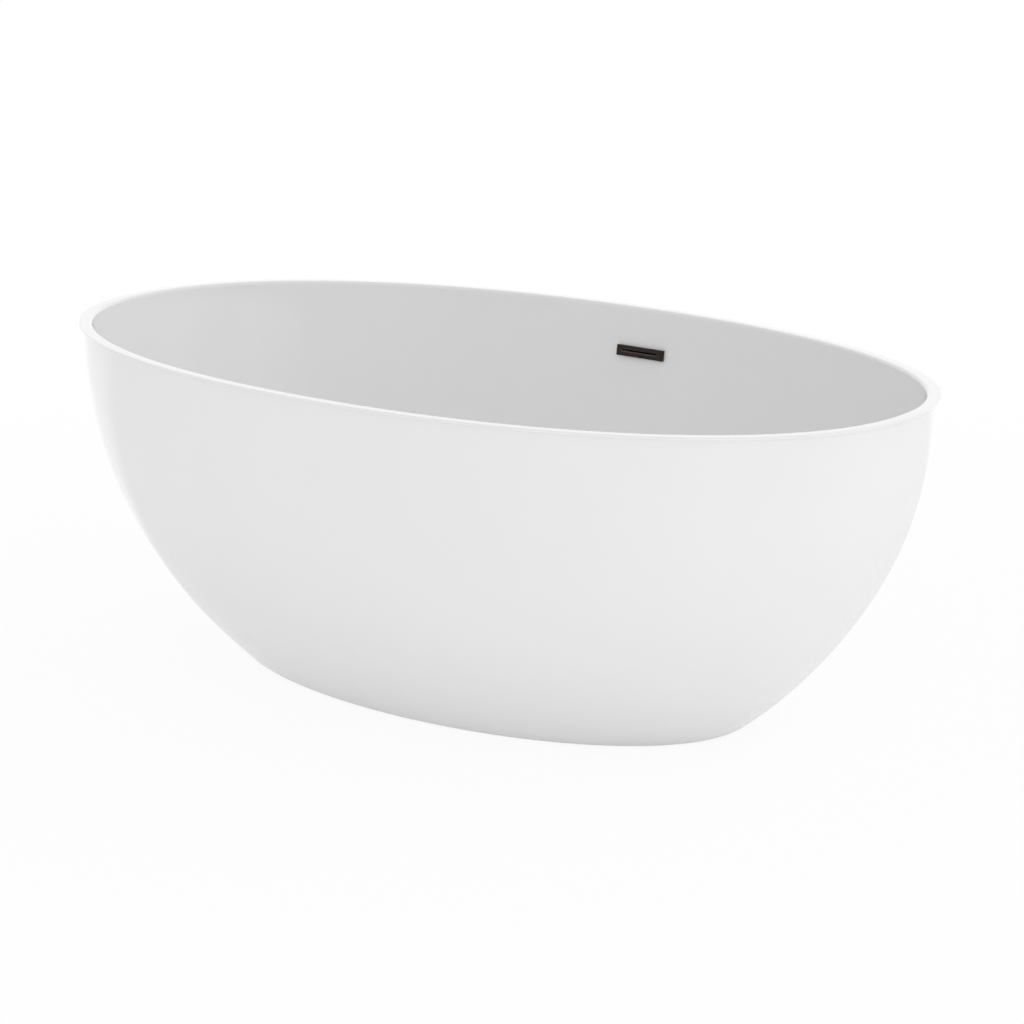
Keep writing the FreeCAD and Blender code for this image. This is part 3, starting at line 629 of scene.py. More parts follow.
@dataclass
class Outline:
    """Superellipse rings |x/a|^n + |y/b|^n = 1, one row for each (a, b, n, height)."""

    half_x: Array
    half_y: Array
    power: Array
    height: Array

    def rows(self, turns: Array) -> Array:
        """Grid of the rings: x = a cos t / k, y = b sin t / k, with k = (|cos t|^n + |sin t|^n)^(1/n)."""
        n = self.power[:, None]
        c, s = np.cos(turns)[None], np.sin(turns)[None]
        reach = (np.abs(c) ** n + np.abs(s) ** n) ** (-1.0 / n)
        x, y = self.half_x[:, None] * c * reach, self.half_y[:, None] * s * reach
        return np.stack([x, y, np.broadcast_to(self.height[:, None], x.shape)], -1)

    def then(self, other: "Outline") -> "Outline":
        """These rings followed by another run of rings."""
        return Outline(*(np.concatenate([getattr(self, k), getattr(other, k)])
                         for k in ("half_x", "half_y", "power", "height")))

    def reversed(self) -> "Outline":
        """The same rings in the other order."""
        return Outline(self.half_x[::-1], self.half_y[::-1], self.power[::-1], self.height[::-1])


def between(start: Ring, end: Ring, share: Array) -> Outline:
    """Rings that go from one (a, b, n, height) to another in a straight line."""
    first, last = np.array(start)[:, None], np.array(end)[:, None]
    return Outline(*(first + (last - first) * share))


@dataclass
class Form:
    """The tub's measures: the frame's boxes and the powers of its curves."""

    rim_power: float = 2.12
    floor_power: float = 2.3
    base_power: float = 2.02
    rim_width_end: float = 26.0
    rim_width_side: float = 23.0
    lip: float = 7.0
    floor_top: float = 125.0
    floor_half: tuple[float, float] = (540.0, 262.0)
    floor_margin: float = 9.0
    wall: float = 4.5
    wall_end: tuple[float, float] = (1.4, 2.0)
    wall_side: tuple[float, float] = (1.5, 2.0)
    base_half: tuple[float, float] = (525.0, 280.0)
    skirt_end: tuple[float, float] = (2.02, 1.10)
    skirt_side: tuple[float, float] = (3.28, 0.875)
    skirt_thickness: float = 4.0
    overflow_drop: float = 83.0

    def __post_init__(self) -> None:
        """Read the overall sizes from the frame."""
        low, high = box_mm("basin")
        self.half = ((high[0] - low[0]) / 2, (high[1] - low[1]) / 2)
        self.top, self.floor_bottom = high[2], low[2]
        low, high = box_mm("skirt")
        self.skirt_bottom, self.skirt_top = low[2], high[2]
        self.inner = (self.half[0] - self.rim_width_end, self.half[1] - self.rim_width_side)

    def wall_rings(self, share: Array, margin: float, thickness: float, foot: float) -> Outline:
        """Rings of the basin wall at shares of its height, for its face or, grown outwards, its back."""
        first = (self.floor_half[0] + margin, self.floor_half[1] + margin)
        last = (self.inner[0] + thickness, self.inner[1] + thickness)
        return Outline(first[0] + (last[0] - first[0]) * rise(share, self.wall_end),
                       first[1] + (last[1] - first[1]) * rise(share, self.wall_side),
                       self.floor_power + (self.rim_power - self.floor_power) * np.sqrt(share),
                       foot + (self.top - foot) * share)

    def face_y(self, x: Array, z: Array) -> Array:
        """Where the basin's long wall is: y = b (1 - |x/a|^n)^(1/n) with that height's a, b and n."""
        share = (np.ravel(z) - self.floor_top) / (self.top - self.floor_top)
        ring = self.wall_rings(share, 0, 0, self.floor_top)
        y = ring.half_y * (1 - np.abs(np.ravel(x) / ring.half_x) ** ring.power) ** (1 / ring.power)
        return y.reshape(np.shape(z))

    def skirt_rings(self, share: Array, inset: float) -> Outline:
        """Rings of the skirt; the inset is square to the wall: it is over the cosine of the wall's lean."""
        height = self.skirt_top - self.skirt_bottom
        halves = []
        for base, reach, powers in zip(self.base_half, self.half, (self.skirt_end, self.skirt_side)):
            span = reach - self.lip - base
            low, high = np.clip(share - 0.01, 0, 1), np.clip(share + 0.01, 0, 1)
            slope = span * (rise(high, powers) - rise(low, powers)) / ((high - low) * height)
            halves.append(base + span * rise(share, powers) - inset * np.hypot(1.0, slope))
        power = self.base_power + (self.rim_power - self.base_power) * rise(share, self.skirt_end)
        return Outline(halves[0], halves[1], power, self.skirt_bottom + height * share)


@dataclass
class Shells:
    """The acrylic basin with its rim, and the skirt around it."""

    form: Form
    palette: Palette
    columns: int = 336
    hole_columns: int = 8
    hole_rows: int = 3
    recess_radius: float = 39.0
    recess_depth: float = 4.0
    drain_radius: float = 24.0
    wall_slot: tuple[float, float] = (90.0, 11.0)
    rim_inner_radius: float = 6.0
    rim_outer_radius: float = 1.7

    def turns(self) -> Array:
        """Angles round the tub, with one run of columns exactly as wide as the slot in the wall."""
        reach = math.acos(self.wall_slot[0] / 2 / (self.form.inner[0] * 0.985))
        half = math.pi / 2 - reach
        slot = np.linspace(math.pi / 2 - half, math.pi / 2 + half, self.hole_columns + 1)
        rest = np.linspace(math.pi / 2 + half, math.pi * 2.5 - half, self.columns)[1:-1]
        return np.concatenate([slot, rest])

    def slot_heights(self) -> tuple[float, float]:
        """Lower and upper edge of the slot in the wall."""
        middle = self.form.top - self.form.overflow_drop
        return middle - self.wall_slot[1] / 2, middle + self.wall_slot[1] / 2

    def wall_shares(self, foot: float, top: float) -> tuple[Array, int]:
        """Shares of the wall's height, squared to crowd near its foot, with rows on the slot's edges.

        Args:
            foot: height of the wall's foot.
            top: height where the run ends.

        Returns:
            The shares, and the number of the row on the slot's lower edge.
        """
        low, high = ((z - foot) / (self.form.top - foot) for z in self.slot_heights())
        end = (top - foot) / (self.form.top - foot)
        below = np.linspace(0, math.sqrt(low), 44)[:-1] ** 2
        across = np.linspace(low, high, self.hole_rows + 1)
        above = np.linspace(high, end, 9)[1:]
        return np.concatenate([below, across, above]), len(below)

    def rim_rings(self) -> Outline:
        """Rounded inner edge, flat top, rounded outer edge and lip, and the underside back to the wall."""
        f = self.form
        quarter = np.linspace(0, math.pi / 2, 9)
        inner_r, outer_r = self.rim_inner_radius, self.rim_outer_radius
        share = (f.top - inner_r - f.floor_top) / (f.top - f.floor_top)
        start = f.wall_rings(np.array([share]), 0, 0, f.floor_top)
        grow, climb = inner_r * (1 - np.cos(quarter[1:])), inner_r * np.sin(quarter[1:])
        power = np.full_like(grow, f.rim_power)
        rounded = Outline(start.half_x + grow, start.half_y + grow, power, f.top - inner_r + climb)
        edge = tuple(h - outer_r for h in f.half)
        flat = between((rounded.half_x[-1], rounded.half_y[-1], f.rim_power, f.top),
                       (*edge, f.rim_power, f.top), np.linspace(0, 1, 6)[1:-1])
        turn = np.linspace(0, math.pi, 17)
        depth = (f.top - f.skirt_top) / 2
        bulge = Outline(edge[0] + outer_r * np.sin(turn), edge[1] + outer_r * np.sin(turn),
                        np.full_like(turn, f.rim_power), f.skirt_top + depth * (1 + np.cos(turn)))
        under = between((*edge, f.rim_power, f.skirt_top),
                        (f.inner[0] + f.wall, f.inner[1] + f.wall, f.rim_power, f.skirt_top),
                        np.linspace(0, 1, 5)[1:])
        return rounded.then(flat).then(bulge).then(under)

    def build_basin(self) -> bpy.types.Object:
        """Basin, rim and back as one closed grid: drain hole, floor, wall, rim, back, underside and hole.

        The slot for the overflow leaves out its faces in wall and back, and a band joins the two edges.
        """
        f = self.form
        face_share, face_row = self.wall_shares(f.floor_top, f.top - self.rim_inner_radius)
        back_share, back_row = self.wall_shares(f.floor_bottom, f.skirt_top - 1.0)
        recess = self.recess_radius
        low = f.floor_top - self.recess_depth
        floor_edge = (*f.floor_half, f.floor_power, f.floor_top)
        drain = between((self.drain_radius, self.drain_radius, 2.0, low), (recess - 1, recess - 1, 2.0, low),
                        np.linspace(0, 1, 5))
        lift = between((recess, recess, 2.0, low + 1), (recess, recess, 2.0, f.floor_top - 1),
                       np.linspace(0, 1, 3))
        floor = between((recess + 1, recess + 1, 2.0, f.floor_top), floor_edge,
                        np.linspace(0, 1, 30)[:-1] ** 1.3)
        face = f.wall_rings(face_share, 0.0, 0.0, f.floor_top)
        back = f.wall_rings(back_share, f.floor_margin, f.wall, f.floor_bottom).reversed()
        under_edge = (f.floor_half[0] + f.floor_margin, f.floor_half[1] + f.floor_margin, f.floor_power,
                      f.floor_bottom)
        under = between(under_edge, (self.drain_radius, self.drain_radius, 2.0, f.floor_bottom),
                        np.linspace(0, 1, 16)[1:])
        rim = self.rim_rings()
        rings = drain.then(lift).then(floor).then(face).then(rim).then(back).then(under)
        grid = rings.rows(self.turns())
        faces = grid_faces(*grid.shape[:2], True, True)
        first = len(drain.height) + len(lift.height) + len(floor.height)
        face_low = first + face_row
        back_start = first + len(face.height) + len(rim.height)
        back_low = back_start + len(back.height) - 1 - back_row
        back_high = back_low - self.hole_rows
        slots = np.zeros(faces.shape[:2], int)
        slots[back_start - 4:] = 1
        keep = np.ones(faces.shape[:2], bool)
        keep[face_low:face_low + self.hole_rows, :self.hole_columns] = False
        keep[back_high:back_low, :self.hole_columns] = False
        loop_r, loop_c = self.slot_loop()
        width = grid.shape[1]
        near, far = (row * width + loop_c for row in (face_low + loop_r, back_low - loop_r))
        band = np.stack([near, far, np.roll(far, -1), np.roll(near, -1)], -1)
        every = np.concatenate([faces[keep], band])
        material = np.concatenate([slots[keep], np.zeros(len(band), int)])
        piece = place_mesh("basin_and_rim", grid.reshape(-1, 3), every,
                           [self.palette.acrylic, self.palette.laminate], material)
        return install(piece, "tub", "acrylic", "basin")

    def slot_loop(self) -> tuple[Array, Array]:
        """Rows and columns, counted from the slot's lower corner, of the points round its edge."""
        r, c = self.hole_rows, self.hole_columns
        rows = np.concatenate([np.zeros(c), np.arange(r), np.full(c, r), np.arange(r, 0, -1)])
        columns = np.concatenate([np.arange(c), np.full(r, c), np.arange(c, 0, -1), np.zeros(r)])
        return rows.astype(int), columns.astype(int)

    def build_skirt(self) -> bpy.types.Object:
        """Skirt as one closed grid: outer face up, top edge, inner face down, rounded bottom edge."""
        f = self.form
        share = np.linspace(0, 1, 72) ** 1.25
        outer = f.skirt_rings(share, 0.0)
        inner = f.skirt_rings(share[::2], f.skirt_thickness).reversed()
        soft = Outline(np.array([outer.half_x[0] - 1.2]), np.array([outer.half_y[0] - 1.2]), outer.power[:1],
                       np.array([f.skirt_bottom]))
        outer.height[0] += 1.0
        rings = soft.then(outer).then(inner)
        turns = np.linspace(0, 2 * math.pi, self.columns, endpoint=False)
        grid = rings.rows(turns)
        faces = grid_faces(*grid.shape[:2], True, True)
        slots = np.zeros(faces.shape[:2], int)
        slots[len(outer.height) + 1:] = 1
        piece = place_mesh("outer_skirt", grid.reshape(-1, 3), faces.reshape(-1, 4),
                           [self.palette.acrylic, self.palette.laminate], slots.reshape(-1))
        return install(piece, "tub", "acrylic", "skirt")

    def build(self) -> None:
        """Both shells."""
        self.build_basin()
        self.build_skirt()


# ---- overflow -------------------------------------------------------------------------
@dataclass
class Overflow:
    """Bronze plate over the slot in the wall, the gasket and duct behind it, and the pipe down to the tee."""

    form: Form
    palette: Palette
    plate: tuple[float, float, float] = (104.0, 20.0, 7.0)
    plate_edge: float = 1.2
    plate_face: float = 2.2
    end_wall: float = 5.0
    slot: tuple[float, float] = (80.0, 5.0)
    slot_bevel: float = 1.9
    lug: tuple[float, float, float] = (6.0, 17.0, 2.0)
    lug_x: float = 36.0
    gasket: tuple[float, float, float] = (112.0, 26.0, 2.0)
    wall_slot: tuple[float, float] = (90.0, 11.0)
    play: float = 0.1
    pipe_radius: float = 12.5
    pipe_bore: float = 10.5
    pipe_lean: float = 11.0
    pipe_top: tuple[float, float] = (458.2, 392.0)
    pipe_drops: tuple[float, float] = (6.0, 94.0)
    pipe_turns: tuple[tuple[float, float], ...] = ((400.0, 200.0), (357.0, 130.0), (298.0, 58.0),
                                                   (46.0, 58.0))
    bend_share: float = 0.45

    def __post_init__(self) -> None:
        """Find the overflow's middle on the wall and the wall's lean there."""
        z = self.form.top - self.form.overflow_drop
        low, middle, high = self.form.face_y(np.zeros(3), np.array([z - 5, z, z + 5]))
        self.lean = math.atan2(high - low, 10)
        self.origin = np.array([0, middle, z])

    def to_world(self, grid: Array) -> Array:
        """Place a grid whose x runs along the tub, y up the leaning wall and z into the tub."""
        up = np.array([0, math.sin(self.lean), math.cos(self.lean)])
        out = np.array([0, -math.cos(self.lean), math.sin(self.lean)])
        return self.origin + grid[..., :1] * np.array([1, 0, 0]) + grid[..., 1:2] * up + grid[..., 2:] * out

    def wall_height(self, outline: Array) -> Array:
        """Height of the curved wall over the overflow's plane: three steps of (y - wall y) / cos lean."""
        z = np.zeros(len(outline))
        for _ in range(3):
            world = self.to_world(np.column_stack([outline, z]))
            z += (world[:, 1] - self.form.face_y(world[:, 0], world[:, 2])) / math.cos(self.lean)
        return z

    def build_plate(self) -> bpy.types.Object:
        """Hollow plate: back edge on the wall, rounded front edge, bevelled slot, inside and back again."""
        width, height, depth = self.plate
        r, face = self.plate_edge, self.plate_face
        slot_w, slot_h = self.slot
        outline = soft_rectangle(width, height, 0.8)
        loops = [(outline, self.wall_height(outline) - 0.3), (outline, depth - r)]
        loops += [(soft_rectangle(width - 2 * r * (1 - math.cos(a)), height - 2 * r * (1 - math.cos(a)), 0.8),
                   depth - r + r * math.sin(a)) for a in np.linspace(0, math.pi / 2, 6)[1:]]
        raised = np.array([0, self.slot_bevel / 2])
        bevel_row = len(loops) + 1
        inside = soft_rectangle(width - 2 * self.end_wall, height - 2 * face, 1.0)
        loops += [(soft_rectangle(slot_w + 0.5, slot_h + 0.5, 0.5), depth),
                  (soft_rectangle(slot_w, slot_h, 0.4), depth - 0.25),
                  (soft_rectangle(slot_w, slot_h - self.slot_bevel, 0.4) + raised, depth - face + 0.2),
                  (soft_rectangle(slot_w, slot_h - self.slot_bevel, 0.4) + raised, depth - face),
                  (inside, depth - face), (inside, self.wall_height(inside) - 0.3)]
        lugs = [soft_box(self.lug, (side * self.lug_x, 0, 1.8), 0.3) for side in (-1, 1)]
        shells = [self.to_world(stacked(loops))] + [self.to_world(lug) for lug in lugs]
        points, faces = combined(shells, [True, False, False])
        slots = np.zeros(len(faces))
        # The slot's bevel row gets the lighter bronze: a painted highlight on its upward face.
        slots[bevel_row * len(outline):(bevel_row + 1) * len(outline)] = 1
        piece = place_mesh("overflow_plate_bronze", points, faces,
                           [self.palette.bronze, self.palette.wear_and_painted_highlight], slots)
        return install(piece, "tub", "bronze", "overflow_plate")

    def build_gasket(self) -> bpy.types.Object:
        """Flat rubber ring whose front follows the back of the wall."""
        width, height, thickness = self.gasket
        back = -self.form.wall - thickness
        outer = soft_rectangle(width, height, height / 2)
        inner = soft_rectangle(*self.wall_slot, self.wall_slot[1] / 2)
        front = [self.wall_height(loop) - self.form.wall - self.play for loop in (outer, inner)]
        grid = stacked([(outer, front[0]), (outer, back), (inner, back), (inner, front[1])])
        return install(surface("overflow_gasket_ring", self.to_world(grid), self.palette.rubber),
                       "tub", "rubber", "overflow_gasket")

    def pipe_path(self) -> Array:
        """Middle line of the pipe: straight runs with a circular bend at each corner.

        A bend starts a fixed share of the shorter run before its corner P. With unit directions u back and v
        ahead it is an arc about P + (u + v) c through both tangent points. With radii a and b to them, 2h
        apart, its points are (a sin(2h (1 - s)) + b sin(2h s)) / sin 2h.
        """
        lean = math.radians(self.pipe_lean)
        axis = np.array([0, -math.sin(lean), -math.cos(lean)])
        corners = np.array([np.array([0, *self.pipe_top]) + axis * drop for drop in self.pipe_drops]
                           + [np.array([0, *turn]) for turn in self.pipe_turns])
        points = [corners[:1]]
        for before, corner, after in zip(corners, corners[1:], corners[2:]):
            back, ahead = before - corner, after - corner
            trim = self.bend_share * min(np.linalg.norm(back), np.linalg.norm(ahead))
            back, ahead = back / np.linalg.norm(back), ahead / np.linalg.norm(ahead)
            half = (math.pi - math.acos(float(back @ ahead))) / 2
            radius = trim / math.tan(half)
            bisector = (back + ahead) / np.linalg.norm(back + ahead)
            middle = corner + bisector * radius / math.cos(half)
            first = (corner + back * trim - middle) / radius
            last = (corner + ahead * trim - middle) / radius
            turn = 2 * half * np.linspace(0, 1, 16)[:, None]
            points.append(middle + radius * (np.sin(2 * half - turn) * first + np.sin(turn) * last)
                          / math.sin(2 * half))
        points.append(corners[-1:])
        return np.concatenate(points)

    def build_pipe(self) -> bpy.types.Object:
        """Bent white pipe, a wall between two circles carried along the same line."""
        path = self.pipe_path()
        skins = [carried(circle(radius), path, (1, 0, 0)) for radius in (self.pipe_radius, self.pipe_bore)]
        return install(surface("overflow_pipe_bent", hollow(*skins), self.palette.pipe),
                       "tub", "pipe_plastic", "overflow_pipe")

    def build(self) -> None:
        """Plate, gasket and pipe; the duct and the small screws keep their shape and get their finish."""
        self.build_plate()
        self.build_gasket()
        self.build_pipe()
        finish_node("overflow_duct", self.palette.plastic)
        finish_node("overflow_screws", self.palette.black)


# ---- waste and stopper ----------------------------------------------------------------
@dataclass
class Waste:
    """Drain flange in the floor, gaskets, tee, tailpiece and their nuts."""

    form: Form
    palette: Palette
    flange_radius: float = 36.0
    spigot_radius: float = 22.5
    spigot_bore: float = 19.0
    spokes: int = 3
    lip_depth: float = 2.5
    seat_radii: tuple[float, float] = (30.5, 20.5)
    seat_depths: tuple[float, float] = (8.0, 12.0)
    thread: tuple[float, float] = (0.3, 1.5)
    boss: tuple[float, float] = (6.05, 9.0)
    boss_heights: tuple[float, float] = (94.0, 101.0)
    spoke_size: tuple[float, float, float] = (13.0, 3.2, 7.0)
    nut_sides: int = 8
    nut_chamfer: float = 2.0

    def build_flange(self) -> bpy.types.Object:
        """Lip, sloping seat and spigot with a fine thread, and spokes with the stopper's boss."""
        low, high = box_mm("drain_flange")
        top, depth, pitch = high[2], *self.thread
        under = self.form.floor_top - self.lip_depth
        outline = [(self.spigot_bore, low[2]), (self.spigot_radius - 0.8, low[2]),
                   (self.spigot_radius, low[2] + 1.5), (self.spigot_radius, under),
                   (self.flange_radius, under), (self.flange_radius, top - 1.4),
                   (self.flange_radius - 1.6, top), (self.seat_radii[0], top),
                   (self.seat_radii[1], top - self.seat_depths[0]),
                   (self.spigot_bore, top - self.seat_depths[1])]
        body = lathe(softened(outline, 0.7))
        turn = np.arctan2(body[..., 1], body[..., 0]) / (2 * math.pi)
        radius = np.hypot(body[..., 0], body[..., 1])
        z = body[..., 2]
        threaded = (radius > self.spigot_radius - 0.1) & (z < under - 4) & (z > low[2] + 2)
        groove = depth / radius * np.sin(math.pi * (z / pitch - turn)) ** 2
        body[..., :2] *= np.where(threaded, 1 - groove, 1)[..., None]
        (inner, outer), (foot, head) = self.boss, self.boss_heights
        boss = lathe(softened([(inner, foot), (outer, foot), (outer, head), (inner, head)], 0.6), 48)
        bar = soft_box(self.spoke_size, (14.0, 0, (foot + head) / 2), 0.8)
        angles = np.radians(30 + 360 / self.spokes * np.arange(self.spokes))
        bars = [bar @ np.array([(math.cos(a), math.sin(a), 0), (-math.sin(a), math.cos(a), 0), (0, 0, 1)])
                for a in angles]
        points, faces = combined([body, boss, *bars], [True, True, False, False, False])
        return install(place_mesh("drain_flange_turned", points, faces, [self.palette.bronze]),
                       "tub", "bronze", "drain_flange")

    def ring(self, name: str, node: str, inner: float, outer: float, material: bpy.types.Material, slot: str,
             soft: float) -> bpy.types.Object:
        """Upright ring as high as its CAD node, with soft edges."""
        low, high = box_mm(node)
        outline = [(inner, low[2]), (outer, low[2]), (outer, high[2]), (inner, high[2])]
        return install(surface(name, lathe(softened(outline, soft)), material), "tub", slot, node)

    def build_nuts(self) -> None:
        """Eight-sided slip nuts with a lip at the mouth: one under the tee and one on its branch."""
        low, high = box_mm("tailpiece_nut")
        nut = nut_grid(self.nut_sides, 61.0, 17.95, low[2], high[2], chamfer=self.nut_chamfer)
        install(surface("tailpiece_slip_nut", nut, self.palette.plastic),
                "tub", "plumbing_plastic", "tailpiece_nut")
        low, high = box_mm("pipe_nut")
        length = high[1] - low[1]
        nut = oriented(nut_grid(self.nut_sides, 40.0, 12.6, 0, length, chamfer=self.nut_chamfer),
                       (0, high[1], (low[2] + high[2]) / 2), (0, -1, 0))
        install(surface("pipe_slip_nut", nut, self.palette.plastic), "tub", "plumbing_plastic", "pipe_nut")

    def build(self) -> None:
        """Every piece of the waste."""
        self.build_flange()
        self.ring("drain_seal_upper", "drain_gasket_top", 24.0, 35.0, self.palette.rubber, "rubber", 0.4)
        self.ring("drain_seal_lower", "drain_gasket_bottom", 22.8, 34.0, self.palette.rubber, "rubber", 0.8)
        self.ring("outlet_washer", "tailpiece_washer", 17.8, 26.5, self.palette.rubber, "rubber", 0.5)
        self.build_nuts()
        for node, material in (("drain_tee", self.palette.plastic), ("tailpiece", self.palette.brass),
                               ("pipe_washer", self.palette.rubber)):
            finish_node(node, material)


@dataclass
class Stopper:
    """Press-to-close stopper: cap, seal and plunger lift together; the cartridge stays in the flange."""

    palette: Palette
    cap_edge: float = 1.8
    spring_radius: float = 3.7
    wire_radius: float = 0.5
    spring_turns: int = 5

    def build_cap(self) -> bpy.types.Object:
        """Low dome z = top - r^2 / 2R with R = (r0^2 + h^2) / 2h, a rounded edge and a flat underside."""
        low, high = box_mm("stopper_cap")
        radius, crown = high[0], high[2] - low[2] - self.cap_edge
        ball = (radius ** 2 + crown ** 2) / (2 * crown)
        r = np.linspace(0, radius - 0.5, 24)
        dome = np.column_stack([r, high[2] - r ** 2 / (2 * ball)])
        edge = softened([(radius - 0.5, dome[-1, 1]), (radius, low[2] + self.cap_edge), (radius, low[2]),
                         (radius - 2, low[2])], 0.5, closed=False)
        profile = np.concatenate([dome, edge[1:], [(3.0, low[2]), (0, low[2])]])
        return install(surface("stopper_cap_dome", lathe(profile, 128), self.palette.bronze, False),
                       "stopper", "bronze", "stopper_cap")

    def build_seal(self) -> bpy.types.Object:
        """Rubber plug under the cap with a fine lip where it meets the seat."""
        low, high = box_mm("stopper_seal")
        z = low[2]
        outline = [(3.0, z), (25.0, z), (27.6, z + 2.2), (28.2, z + 2.4), (28.2, z + 3.0), (27.4, z + 3.4),
                   (27.4, high[2]), (3.0, high[2])]
        return install(surface("stopper_seal_ring", lathe(softened(outline, 0.4)), self.palette.rubber),
                       "stopper", "rubber", "stopper_seal")

    def build_plunger(self) -> bpy.types.Object:
        """Round rod with a piston at its foot and a groove above it."""
        low, high = box_mm("stopper_plunger")
        z = low[2]
        outline = [(0, z), (4.6, z), (4.6, z + 3), (3, z + 3), (3, z + 10), (2.6, z + 10.4), (2.6, z + 11.6),
                   (3, z + 12), (3, high[2]), (0, high[2])]
        grid = lathe(softened(outline, 0.35, closed=False), 32)
        return install(surface("stopper_plunger_rod", grid, self.palette.brass, False),
                       "stopper", "plain_brass", "stopper_plunger")

    def build_cartridge(self) -> bpy.types.Object:
        """Sleeve with a chamber for the spring and a knurled head, r = R - 0.25 |sin 24 t| on its side."""
        low, high = box_mm("stopper_cartridge")
        outline = [(3.05, low[2]), (6, low[2]), (6, 101), (8, 101), (8, 101.8), (8, high[2] - 0.8),
                   (8, high[2]), (3.05, high[2]), (3.05, 99.3), (4.8, 99.3), (4.8, 80), (3.05, 80)]
        grid = lathe(softened(outline, 0.3), 144)
        radius = np.hypot(grid[..., 0], grid[..., 1])
        turn = np.arctan2(grid[..., 1], grid[..., 0])
        side = (radius > 7.9) & (grid[..., 2] > 101.5) & (grid[..., 2] < high[2] - 0.5)
        grid[..., :2] *= np.where(side, 1 - 0.25 * np.abs(np.sin(24 * turn)) / radius, 1)[..., None]
        return install(surface("stopper_cartridge_sleeve", grid, self.palette.brass), "tub", "plain_brass",
                       "stopper_cartridge")

    def build_spring(self) -> bpy.types.Object:
        """Helix x = R cos t, y = R sin t, z rising evenly; it stretches between the seat and the piston."""
        low, high = box_mm("stopper_spring")
        turn = np.linspace(0, 2 * math.pi * self.spring_turns, self.spring_turns * 24 + 1)
        height = np.linspace(low[2] + self.wire_radius, high[2] - self.wire_radius, len(turn))
        path = np.column_stack([self.spring_radius * np.cos(turn), self.spring_radius * np.sin(turn), height])
        grid = capped(carried(circle(self.wire_radius, 8), path, (0, 0, 1)))
        piece = surface("stopper_spring_coil", grid, self.palette.wire, False)
        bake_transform(piece)
        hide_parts("stopper_spring")
        return piece

    def build(self) -> None:
        """All five pieces."""
        self.build_cap()
        self.build_seal()
        self.build_plunger()
        self.build_cartridge()
        self.build_spring()


# ---- support --------------------------------------------------------------------------
class Place(Enum):
    """The four corners where a foot stands, with the signs of their x and y."""

    FRONT_LEFT = ("front_left", -1, -1)
    FRONT_RIGHT = ("front_right", 1, -1)
    BACK_LEFT = ("back_left", -1, 1)
    BACK_RIGHT = ("back_right", 1, 1)


